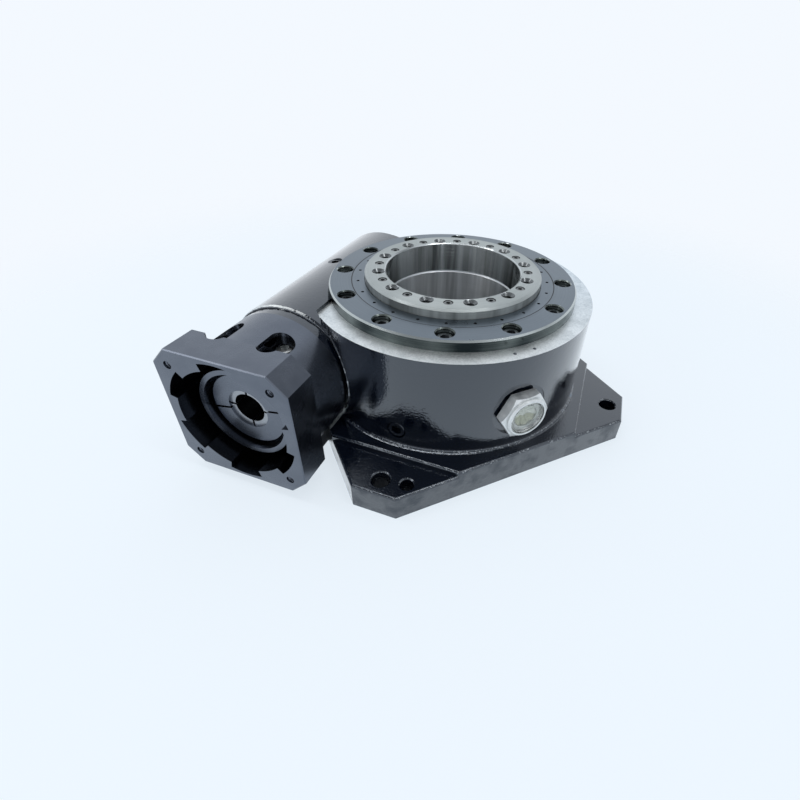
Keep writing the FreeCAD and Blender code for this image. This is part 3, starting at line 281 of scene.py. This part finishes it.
def black_paint():
    """Enamel on the casting, bare on the milled faces and rubbed through on some edges."""
    s = Shader("black_paint", coat_roughness=0.04, **ENAMEL_COAT)
    x, y, z = s.axes()
    ny, nz = s.axes("Normal")[1:]
    grain = s.noise(1.1 * MM, 4.0, 0.65)

    # Milled faces: the drum's top, the tunnel's ends and the underside
    top = s.both(s.near(z, DRUM_TOP, 0.3 * MM), s.above(nz, SQUARE))
    front_end = s.both(s.near(y, TUNNEL_FRONT, 0.2 * MM), s.below(ny, -SQUARE))
    rear_end = s.both(s.near(y, TUNNEL_REAR, 0.2 * MM), s.above(ny, SQUARE))
    underside = s.below(z, 0.2 * MM)

    # Worn edges: chips round the tunnel's mouth, and rubbed edges of the plate; the chips thin out to
    # the right, which also paints a highlight on the mouth's upper left
    chips = s.mean(s.noise(7.0 * MM, 4.0, 0.6), grain, 0.7)
    # Painted highlight on real chipping: more bare metal to the left of the mouth, less to the right
    chip_limit_and_highlight = s.ramp(x, 0.40, 0.60, CAM_AXIS.x - 5.0 * MM, CAM_AXIS.x + 28.0 * MM)
    from_cam = s.reach("Y", CAM_CENTRE)[0]
    edge = s.both(s.near(y, TUNNEL_FRONT + TUNNEL_EDGE / 2, TUNNEL_EDGE), s.below(ny, -0.4),
                  s.below(from_cam, TUNNEL_R + 0.1 * MM), s.above(chips, chip_limit_and_highlight))
    scuffs = s.mean(chips, s.noise(0.9 * MM, 2.0, 0.6))
    rubbed = s.both(s.near(z, PLATE_TOP - 1.0 * MM, 3.2 * MM), s.above(nz, 0.3), s.below(nz, 0.92),
                    s.above(from_cam, TUNNEL_R + 4.0 * MM), s.above(scuffs, 0.55))

    bare = s.either(top, front_end, rear_end, edge, rubbed, underside)
    painted = s.other(bare)
    paint, gloss = enamel(s, painted)
    milled = s.mean(grain, s.noise(9.0 * MM, 3.0, 0.6))
    iron = s.blend(s.ramp(milled, 0.0, 1.0, 0.38, 0.62), (0.62, 0.645, 0.64), (0.90, 0.92, 0.91))
    iron = s.blend(rubbed, iron, (0.34, 0.36, 0.38))
    s.drive("Base Color", s.blend(bare, paint, iron))

    # The plate's sides have lost some of their gloss
    sides = s.both(s.below(z, PLATE_TOP), s.below(s.math("ABSOLUTE", nz), 0.3))
    dull = s.both(sides, s.ramp(s.noise(13.0 * MM, 3.0, 0.55), 0.0, 0.6, 0.45, 0.65))
    s.drive("Coat Weight", s.both(painted, s.other(dull)))
    s.drive("Metallic", s.math("MULTIPLY", bare, 0.9))
    iron_gloss = s.ramp(grain, 0.34, 0.48)
    s.drive("Roughness", s.math("ADD", s.both(gloss, painted), s.both(bare, iron_gloss)))
    s.bump(s.both(grain, bare), 0.03 * MM, 0.5)
    return s.material


def bead_paint():
    """The same enamel where it has gathered in a seam."""
    s = Shader("bead_paint", coat_weight=1.0, coat_roughness=0.03, **ENAMEL_COAT)
    paint, gloss = enamel(s, s.ramp(s.noise(3.0 * MM), 0.6, 1.0))
    s.drive("Base Color", paint)
    s.drive("Roughness", gloss)
    return s.material


def worn_bead():
    """Enamel rubbed through to bright metal in ragged spots."""
    s = Shader("worn_bead", coat_roughness=0.04, **ENAMEL_COAT)
    rubbed = s.above(s.noise(9.0 * MM, 2.0, 0.5), 0.5)
    painted = s.other(rubbed)
    paint, gloss = enamel(s, painted)
    s.drive("Base Color", s.blend(rubbed, paint, (0.42, 0.45, 0.47)))
    s.drive("Metallic", rubbed)
    s.drive("Coat Weight", painted)
    s.drive("Roughness", s.math("ADD", gloss, s.math("MULTIPLY", rubbed, 0.22)))
    return s.material


def turned_steel(name, low, high, gloss, axis="Z", centre=(0.0, 0.0), painted_streak=0.0,
                 holes=None, inside=0.0):
    """Turned steel, with tool lines round its axis and painted reflection streaks along its walls.

    It has painted shade in holes on a circle of radius holes, and nearer to the axis than inside; the
    mouths of those holes are painted darker as shade.
    """
    s = Shader(name, metallic=1.0, anisotropic=0.9, anisotropic_rotation=0.25)
    tangent = s.node("ShaderNodeTangent")
    tangent.direction_type = "RADIAL"
    tangent.axis = axis
    s.drive("Tangent", tangent.outputs[0])
    lines = s.turning_lines(axis, centre, 0.4 * MM)
    cloud = s.noise(22.0 * MM, 3.0, 0.6)
    x, y, z = s.axes()
    flat = s.math("ABSOLUTE", s.axes("Normal")[2 if axis == "Z" else 1])
    wall = s.below(flat, WALL)
    # Painted reflection streaks: bands along the walls, with the walls darkened between them by the
    # share painted_streak
    drawn = s.point(x, y, s.math("MULTIPLY", z, 0.05))
    broad = s.noise(26.0 * MM, 1.0, 0.5, drawn)
    narrow = s.noise(5.0 * MM, 2.0, 0.6, drawn)
    reflection_bands = s.ramp(s.mean(broad, narrow, 0.7), 0.0, 1.0, 0.38, 0.62)
    colour = s.blend(s.ramp(s.mean(lines, cloud, 0.6), 0.0, 1.0), low, high)
    dark = tuple(value * 0.28 for value in low)
    shade = s.math("MULTIPLY", s.both(wall, s.other(reflection_bands)), painted_streak)
    colour = s.blend(shade, colour, dark)
    radius = s.reach(axis, centre)[0]
    # Painted shade nearer to the axis than inside, such as in the bush's bore
    hole_shade = s.below(radius, inside)
    rough = s.ramp(s.mean(lines, cloud), *gloss)
    if holes:
        # Painted shade: the walls of the holes near black and their mouths darker; the bore's rim
        # chamfer keeps a pale steel colour
        drilled = s.near(radius, holes, 4.8 * MM)
        mouth = s.both(drilled, s.below(flat, FLAT))
        hole_shade = s.both(drilled, s.below(flat, 0.6))
        bore = s.both(wall, s.below(radius, BORE_R + 0.5 * MM))
        bore_rim = s.below(radius, BORE_R + 1.2 * MM)
        mouth_shade_and_rim = s.blend(bore_rim, (0.17, 0.18, 0.185), (0.55, 0.58, 0.59))
        colour = s.blend(mouth, colour, mouth_shade_and_rim)
        # Painted reflection: bright bands on the bore's walls
        colour = s.blend(s.both(bore, reflection_bands), colour, (0.90, 0.93, 0.94))
        rough = s.both(rough, s.ramp(bore, 1.0, 0.62, 0.0, 1.0), s.ramp(mouth, 1.0, 0.4, 0.0, 1.0))
    s.drive("Base Color", s.blend(hole_shade, colour, HOLE_SHADE))
    s.drive("Roughness", rough)
    s.bump(lines, 0.012 * MM, 0.6)
    return s.material


def bearing_ring_steel():
    """Dark satin on the flat top of the ring, ground steel on its wall with painted reflection patches.
    """
    s = Shader("ring_steel", metallic=1.0)
    tilt = s.axes("Normal")[2]
    flat = s.above(tilt, FLAT)
    radius = s.reach("Z", (0.0, 0.0))[0]
    lines = s.turning_lines("Z", (0.0, 0.0), 0.4 * MM)
    cloud = s.noise(26.0 * MM, 4.0, 0.65)
    mixed = s.ramp(s.mean(lines, cloud), 0.0, 1.0)
    top = s.blend(mixed, (0.148, 0.175, 0.203), (0.202, 0.236, 0.270))
    # Painted reflection: broad dark and light patches on the wall, carried by the field oil, that stand
    # in for what the wall reflects
    oil = s.ramp(s.mean(s.noise(45.0 * MM, 2.0, 0.5), lines, 0.8), 0.0, 1.0, 0.38, 0.64)
    wall = s.blend(oil, (0.025, 0.033, 0.036), (0.25, 0.28, 0.265))
    # Painted highlight: the outer top chamfer is given a bright colour, for the bright line along the
    # ring's edge
    rim = s.both(s.above(tilt, 0.3), s.other(flat), s.above(radius, RING_HIGH.x - 3.0 * MM))
    wall = s.blend(rim, wall, (0.50, 0.54, 0.54))
    # A dark joint line at the seal's edge, and painted shade near black on the walls within the seal
    seam = s.near(radius, SEAL_R, 0.3 * MM)
    inner_wall_shade = s.both(s.other(flat), s.below(radius, SEAL_R))
    s.drive("Base Color", s.blend(s.either(seam, inner_wall_shade), s.blend(flat, wall, top), JOINT_AND_SHADE_DARK))
    s.drive("Roughness", s.math("ADD", s.ramp(cloud, 0.18, 0.28), s.math("MULTIPLY", flat, 0.08)))
    s.bump(lines, 0.01 * MM, 0.5)
    return s.material


def anodised(name, recess=0.0):
    """Dark satin aluminium with a fine blasted grain, with painted shade by a share inside its recess.
    """
    s = Shader(name, metallic=1.0)
    fine = s.noise(0.4 * MM, 3.0, 0.6)
    cloud = s.noise(18.0 * MM, 3.0, 0.55)
    radius, along = s.reach("Y", CAM_CENTRE)
    inside = s.both(s.below(radius, PILOT_R), s.above(along, ADAPTER_LOW.y + 0.3 * MM))
    colour = s.blend(s.ramp(cloud, 0.0, 1.0), (0.130, 0.146, 0.178), (0.162, 0.180, 0.215))
    # Painted shade inside the adapter's pilot recess, by the share recess
    s.drive("Base Color", s.blend(s.math("MULTIPLY", inside, recess), colour, RECESS_SHADE))
    s.drive("Roughness", s.math("ADD", s.ramp(cloud, 0.21, 0.27), s.math("MULTIPLY", fine, 0.06)))
    s.bump(fine, 0.02 * MM, 0.4)
    return s.material


def plain_metal(name, low, high, gloss, size=7.0 * MM):
    """Metal with cloudy colour and fine grain."""
    s = Shader(name, metallic=1.0)
    cloud = s.noise(size, 4.0, 0.6)
    fine = s.noise(size / 14.0, 2.0, 0.5)
    s.drive("Base Color", s.blend(s.ramp(cloud, 0.0, 1.0), low, high))
    s.drive("Roughness", s.ramp(s.mean(cloud, fine, 0.6), *gloss))
    s.bump(fine, 0.015 * MM, 0.5)
    return s.material


def rubber():
    """Black seal rubber, a little dusty."""
    s = Shader("seal_rubber")
    dust = s.noise(4.5 * MM, 4.0, 0.65)
    s.drive("Base Color", s.blend(s.ramp(dust, 0.0, 1.0), (0.012, 0.012, 0.013), (0.03, 0.03, 0.031)))
    s.drive("Roughness", s.ramp(dust, 0.45, 0.62))
    s.bump(s.noise(0.55 * MM, 2.0, 0.5), 0.02 * MM, 0.5)
    return s.material


def lens_glass():
    """Clear glass with a slight green tint and a few flow marks."""
    s = Shader("sight_glass", transmission_weight=1.0, ior=1.5)
    flow = s.noise(6.0 * MM, 2.0, 0.5)
    s.drive("Base Color", s.blend(s.ramp(flow, 0.0, 1.0), (0.88, 0.90, 0.86), (0.95, 0.96, 0.93)))
    s.drive("Roughness", s.ramp(flow, 0.01, 0.05))
    s.bump(flow, 0.12 * MM, 0.4)
    return s.material


def reflector_metal():
    """Pale fluted reflector, stained by the oil that stands in its lower half."""
    s = Shader("reflector", metallic=0.3)
    z = s.axes()[2]
    stain = s.noise(3.0 * MM, 3.0, 0.6)
    level = s.math("ADD", z, s.math("MULTIPLY", stain, 4.0 * MM))
    oil = s.below(level, CAM_AXIS.z + 1.0 * MM)
    pale = s.blend(stain, (0.70, 0.74, 0.72), (0.86, 0.88, 0.86))
    s.drive("Base Color", s.blend(oil, pale, (0.50, 0.52, 0.40)))
    s.drive("Roughness", s.ramp(stain, 0.25, 0.45))
    s.bump(stain, 0.05 * MM, 0.5)
    return s.material


PAINT = black_paint()
BEAD = bead_paint()
WORN = worn_bead()
STEEL = turned_steel("bright_steel", (0.37, 0.40, 0.395), (0.53, 0.565, 0.56), (0.36, 0.46),
                     painted_streak=0.9, holes=OUTPUT_CIRCLE)
# Painted light: the carrier's steel is far brighter than the output ring's, to light the dim bore
BRIGHTENED_SLEEVE = turned_steel("brightened_sleeve_steel", (0.80, 0.83, 0.85), (0.92, 0.94, 0.96), (0.36, 0.46),
                      painted_streak=0.85)
# The bush's bore is given painted shade
BUSH = turned_steel("bush_steel", (0.28, 0.30, 0.33), (0.44, 0.46, 0.49), (0.24, 0.34),
                    "Y", CAM_CENTRE, inside=SHAFT_R + 0.2 * MM)
CAM = turned_steel("cam_steel", (0.40, 0.40, 0.41), (0.60, 0.60, 0.61), (0.15, 0.28),
                   "Y", CAM_CENTRE)
RING = bearing_ring_steel()
ANODISED = anodised("dark_anodised", 0.65)
HUB = anodised("hub_anodised")
OXIDE = plain_metal("black_oxide", (0.10, 0.108, 0.118), (0.20, 0.21, 0.222), (0.22, 0.36))
# Painted light: the bearing screws' black-oxide heads are a brighter copy of black_oxide, as they sit in
# the counterbores' shade
BRIGHTENED_HEADS = plain_metal("brightened_screw_heads", (0.14, 0.15, 0.16), (0.32, 0.335, 0.35), (0.22, 0.36), 5.0 * MM)
SCREWS = plain_metal("small_screws", (0.12, 0.128, 0.132), (0.26, 0.27, 0.272), (0.25, 0.4), 3.0 * MM)
# Painted shade: thread steel darkened to stand for the shade inside the tapped holes
SHADED_THREADS = plain_metal("shaded_thread_steel", (0.10, 0.107, 0.11), (0.24, 0.25, 0.252), (0.2, 0.32), 3.0 * MM)
HARD = plain_metal("hard_steel", (0.45, 0.45, 0.46), (0.62, 0.62, 0.63), (0.14, 0.26))
IRON = plain_metal("machined_iron", (0.26, 0.265, 0.27), (0.38, 0.385, 0.39), (0.32, 0.46))
ZINC = plain_metal("zinc_plate", (0.62, 0.645, 0.65), (0.84, 0.86, 0.86), (0.42, 0.58), 4.0 * MM)
RUBBER = rubber()
GLASS = lens_glass()
REFLECTOR = reflector_metal()

BY_SLOT = {
    "black_paint": PAINT, "ring_steel": RING, "bright_steel": STEEL, "hard_steel": HARD,
    "black_oxide": OXIDE, "dark_anodised": ANODISED, "machined_iron": IRON,
    "seal_rubber": RUBBER, "zinc_plate": ZINC, "sight_glass": GLASS,
}
BY_NODE = {
    "follower_carrier": BRIGHTENED_SLEEVE, "split_bush": BUSH, "camshaft": CAM, "coupling_hub": HUB,
    "input_bearing_housing": BEAD, "output_ring_screws": SCREWS, "bearing_screws": BRIGHTENED_HEADS,
}


def dress(node):
    """Give a CAD node its material."""
    slot = next(part["material_slot"] for part in record["subparts"] if part["node"] == node)
    mesh = nodes[node].data
    mesh.materials.clear()
    mesh.materials.append(BY_NODE.get(node, BY_SLOT[slot]))


for name in nodes:
    dress(name)


# Pieces added to the frame: threads, paint beads and the sight glass's reflector


def add_piece(name, mesh, material, body):
    """Make an object of a finished bmesh, riding on a body."""
    bmesh.ops.recalc_face_normals(mesh, faces=mesh.faces)
    data = bpy.data.meshes.new(name)
    mesh.to_mesh(data)
    mesh.free()
    data.materials.append(material)
    made = bpy.data.objects.new(name, data)
    bpy.context.scene.collection.objects.link(made)
    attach(made, body)
    return made


def smooth(piece):
    """Shade a rounded piece smooth."""
    for face in piece.data.polygons:
        face.use_smooth = True
    return piece


def join_rows(mesh, rows, closed_across=False):
    """Skin neighbouring rows of vertices with quads."""
    for first, second in zip(rows, rows[1:]):
        count = len(first)
        for index in range(count if closed_across else count - 1):
            following = (index + 1) % count
            mesh.faces.new((first[index], second[index], second[following], first[following]))


THREAD_LENGTH = 9.0 * MM
THREAD_PITCH = 1.0 * MM
THREAD_CREST = 0.4 * MM
THREAD_FACETS = 28


def add_thread(mesh, mouth, inward, radius, length):
    """Helical ridge on the wall of a tapped hole, from its mouth inward."""
    turn = inward.to_track_quat("Z", "Y").to_matrix()
    steps = int(length / THREAD_PITCH * THREAD_FACETS)
    rows = []
    for step in range(steps + 1):
        angle = math.tau * step / THREAD_FACETS
        fade = min(1.0, step / THREAD_FACETS, (steps - step) / THREAD_FACETS)
        row = []
        for across, height in ((-0.5, 0.0), (0.0, 1.0), (0.5, 0.0)):
            reach = radius - THREAD_CREST * height * fade
            along = THREAD_PITCH * (step / THREAD_FACETS + across + 0.5)
            spot = Vector((reach * math.cos(angle), reach * math.sin(angle), along))
            row.append(mesh.verts.new(mouth + turn @ spot))
        rows.append(row)
    join_rows(mesh, rows)


def output_threads():
    """Threads of the twelve holes in the output ring, below their mouths."""
    mount = MOUNTS["output_bolts"]
    count = mount["dims"]["count"]
    countersink = 1.8 * MM
    mesh = bmesh.new()
    for index in range(count):
        angle = math.tau * index / count
        mouth = Vector((OUTPUT_CIRCLE * math.cos(angle), OUTPUT_CIRCLE * math.sin(angle),
                        OUTPUT_TOP - countersink))
        add_thread(mesh, mouth, Vector((0, 0, -1)), mount["dims"]["hole_r_mm"] * MM, THREAD_LENGTH)
    add_piece("output_threads", mesh, SHADED_THREADS, "turret")


def motor_threads():
    """Threads of the four holes in the adapter's face."""
    mount = MOUNTS["motor_bolts"]
    half_x = mount["dims"]["spacing_x_mm"] / 2 * MM
    half_z = mount["dims"]["spacing_y_mm"] / 2 * MM
    countersink = 0.4 * MM
    face = Vector(mount["pos_m"])
    mesh = bmesh.new()
    for side in (-1, 1):
        for level in (-1, 1):
            mouth = face + Vector((half_x * side, countersink, half_z * level))
            add_thread(mesh, mouth, Vector((0, 1, 0)), mount["dims"]["hole_r_mm"] * MM, THREAD_LENGTH)
    add_piece("motor_threads", mesh, ANODISED, "housing")


BEAD_SIDES = 10


def add_bead(mesh, points, radius, closed=False):
    """Irregular round bead along points, thicker and thinner as paint gathers."""
    count = len(points)
    rows = []
    for index, point in enumerate(points):
        before = points[index - 1] if closed or index else point
        after = points[(index + 1) % count] if closed or index < count - 1 else point
        turn = (after - before).to_track_quat("Z", "Y").to_matrix()
        thick = radius * (1.0 + 0.9 * noise.noise(point / (5.0 * MM))
                          + 0.4 * noise.noise(point / (1.5 * MM)))
        row = []
        for side in range(BEAD_SIDES):
            angle = math.tau * side / BEAD_SIDES
            spoke = Vector((math.cos(angle), math.sin(angle), 0.0))
            row.append(mesh.verts.new(point + turn @ spoke * thick))
        rows.append(row)
    if closed:
        rows.append(rows[0])
    join_rows(mesh, rows, closed_across=True)
    if not closed:
        mesh.faces.new(rows[0])
        mesh.faces.new(rows[-1])


def joint_bead():
    """Paint gathered round the groove between the tunnel's edge and the bearing housing's flange."""
    count = 220
    reach = TUNNEL_R - TUNNEL_EDGE * 0.55
    points = []
    for index in range(count):
        angle = math.tau * index / count
        points.append(Vector((CAM_AXIS.x + reach * math.cos(angle), TUNNEL_FRONT + 0.5 * MM,
                              CAM_AXIS.z + reach * math.sin(angle))))
    mesh = bmesh.new()
    add_bead(mesh, points, 0.55 * MM, closed=True)
    smooth(add_piece("joint_bead", mesh, BEAD, "housing"))


def relief_bead():
    """Paint gathered on the edge where the drum is relieved for the adapter."""
    top = math.asin((DRUM_TOP - CAM_AXIS.z) / RELIEF_R)
    bottom = math.asin((PLATE_TOP - CAM_AXIS.z) / RELIEF_R)
    count = 90
    points = []
    for index in range(count + 1):
        angle = bottom + (top - bottom) * index / count
        x = CAM_AXIS.x + RELIEF_R * math.cos(angle)
        if math.hypot(x, TUNNEL_FRONT) > DRUM_R:
            continue
        y = -math.sqrt(DRUM_R ** 2 - x ** 2)
        points.append(Vector((x, y, CAM_AXIS.z + RELIEF_R * math.sin(angle))))
    mesh = bmesh.new()
    add_bead(mesh, points, 0.5 * MM)
    smooth(add_piece("relief_bead", mesh, WORN, "housing"))


def sight_reflector():
    """Fluted dish behind the sight glass's lens."""
    centre = (LENS_LOW + LENS_HIGH) / 2
    outward = Vector((centre.x, centre.y, 0.0)).normalized()
    back = centre - outward * 2.4 * MM
    turn = outward.to_track_quat("Z", "Y").to_matrix()
    flutes = 9
    steps = 12 * flutes
    dish = ((0.6, 1.6), (2.5, 2.4), (5.0, 1.4), (7.3, 0.2))
    rim = dish[-1][0]
    mesh = bmesh.new()
    rows = []
    for radius, depth in dish:
        row = []
        for step in range(steps):
            angle = math.tau * step / steps
            ripple = 0.5 * math.cos(flutes * angle) * radius / rim
            spot = Vector((radius * math.cos(angle), radius * math.sin(angle), ripple - depth)) * MM
            row.append(mesh.verts.new(back + turn @ spot))
        rows.append(row)
    join_rows(mesh, rows, closed_across=True)
    mesh.faces.new(rows[0])
    smooth(add_piece("sight_reflector", mesh, REFLECTOR, "housing"))


output_threads()
motor_threads()
joint_bead()
relief_bead()
sight_reflector()


# Stage, lights and camera

BACKDROP = (0.9, 0.945, 1.0)
SKY_LIGHT = 0.66
FLOOR_TINT = (0.85, 0.93, 1.0)
FLOOR_GLOW = 0.75
FLOOR_SHADE = 0.34
FLOOR_HALF = 0.7
FLOOR_DROP = 0.4 * MM
FADE_START = 0.25
FADE_END = 0.62
LAMP_AIM = (0.0, 0.0, 0.05)

# Camera solved from the photo: azimuth, elevation and roll in degrees, then place, lens and frame centre
CAMERA_ANGLES = (18.37, 36.52, 2.35)
CAMERA_PLACE = Vector((84.2, -275.2, 223.3)) * MM
CAMERA_LENS = 20.445
CAMERA_SHIFT = (-0.0484, -0.0332)


def floor_material():
    """Pale floor that takes the object's shadow and fades into the backdrop.

    Its glow is left off under the plate and under the tunnel's front, which stand in shadow.
    """
    s = Shader("floor", roughness=0.9)
    s.main.inputs["Specular IOR Level"].default_value = 0.0
    tint = tuple(value * FLOOR_SHADE for value in BACKDROP)
    worn = tuple(value * 0.97 for value in tint)
    cloud = s.ramp(s.noise(330.0 * MM, 2.0, 0.5), 0.0, 1.0)
    s.drive("Base Color", s.blend(cloud, tint, worn))
    x, y = s.axes()[:2]
    across, along = (s.math("ABSOLUTE", value) for value in (x, y))
    tip = cad_box[1].x - 2.0 * MM
    plate = s.both(s.below(s.math("ADD", across, along), PLATE_CORNER - 3.0 * MM),
                   s.below(across, tip), s.below(along, tip))
    tunnel = s.both(s.near(x, CAM_AXIS.x + 5.0 * MM, 20.0 * MM),
                    s.above(y, ADAPTER_LOW.y + 27.0 * MM), s.below(y, 0.0))
    open_floor = s.other(s.either(plate, tunnel))
    s.main.inputs["Emission Color"].default_value = (*FLOOR_TINT, 1.0)
    s.drive("Emission Strength", s.math("MULTIPLY", s.both(s.seen_directly(), open_floor), FLOOR_GLOW))
    radius = s.reach("Z", (0.0, 0.0))[0]
    s.drive("Alpha", s.ramp(radius, 1.0, 0.0, FADE_START, FADE_END, smooth=True))
    return s.material


def floor():
    """Square floor just under the object."""
    mesh = bpy.data.meshes.new("floor")
    half = FLOOR_HALF
    corners = [(-half, -half, 0), (half, -half, 0), (half, half, 0), (-half, half, 0)]
    mesh.from_pydata(corners, [], [(0, 1, 2, 3)])
    mesh.materials.append(floor_material())
    made = bpy.data.objects.new("floor", mesh)
    made.location.z = -FLOOR_DROP
    bpy.context.scene.collection.objects.link(made)


def softbox(name, place, aim, size, power):
    """Area lamp at a place, facing a point."""
    lamp = bpy.data.lights.new(name, "AREA")
    lamp.shape = "RECTANGLE"
    lamp.size, lamp.size_y = size
    lamp.energy = power
    made = bpy.data.objects.new(name, lamp)
    made.location = place
    made.rotation_mode = "QUATERNION"
    made.rotation_quaternion = (Vector(aim) - Vector(place)).to_track_quat("-Z", "Y")
    made.visible_camera = False
    bpy.context.scene.collection.objects.link(made)


def world():
    """White surround, dimmer high up at the front and at the back right.

    It has full strength where it is seen, and less as light on the object.
    """
    sky = bpy.data.worlds.new("studio")
    bpy.context.scene.world = sky
    g = Graph(sky)
    x, y, z = g.axes("Generated")
    front = g.both(g.ramp(z, 0.0, 0.7, 0.47, 0.62), g.ramp(y, 1.0, 0.0, -0.6, 0.1))
    right = g.both(g.ramp(z, 0.0, 0.6, 0.36, 0.50), g.ramp(x, 0.0, 1.0, 0.25, 0.55),
                   g.ramp(y, 0.0, 1.0, 0.1, 0.4))
    dimmed = g.both(g.other(front), g.other(right))
    strength = g.both(g.ramp(g.seen_directly(), SKY_LIGHT, 1.0, 0.0, 1.0), dimmed)
    background = g.tree.nodes["Background"]
    background.inputs["Color"].default_value = (*BACKDROP, 1.0)
    g.feed(background.inputs["Strength"], strength)


def camera():
    """Camera at the photo's place, turned from azimuth and elevation and then rolled."""
    azimuth, elevation, roll = (math.radians(angle) for angle in CAMERA_ANGLES)
    back = Vector((math.sin(azimuth) * math.cos(elevation),
                   -math.cos(azimuth) * math.cos(elevation),
                   math.sin(elevation)))
    right = Vector((math.cos(azimuth), math.sin(azimuth), 0.0))
    up = back.cross(right)
    tilted_right = math.cos(roll) * right + math.sin(roll) * up
    tilted_up = -math.sin(roll) * right + math.cos(roll) * up
    data = bpy.data.cameras.new("camera")
    data.sensor_width = 36.0
    data.lens = CAMERA_LENS
    data.shift_x, data.shift_y = CAMERA_SHIFT
    data.clip_start, data.clip_end = 0.01, 60.0
    made = bpy.data.objects.new("camera", data)
    turn = Matrix((tilted_right, tilted_up, back)).transposed().to_4x4()
    made.matrix_world = Matrix.Translation(CAMERA_PLACE) @ turn
    bpy.context.scene.collection.objects.link(made)
    bpy.context.scene.camera = made


floor()
world()
softbox("strip_box", (0.0, -0.15, 1.15), LAMP_AIM, (1.6, 0.12), 3.8)
softbox("left_box", (-0.95, -0.85, 0.8), LAMP_AIM, (0.4, 0.4), 1.2)
camera()
bpy.context.scene.view_settings.view_transform = "Standard"
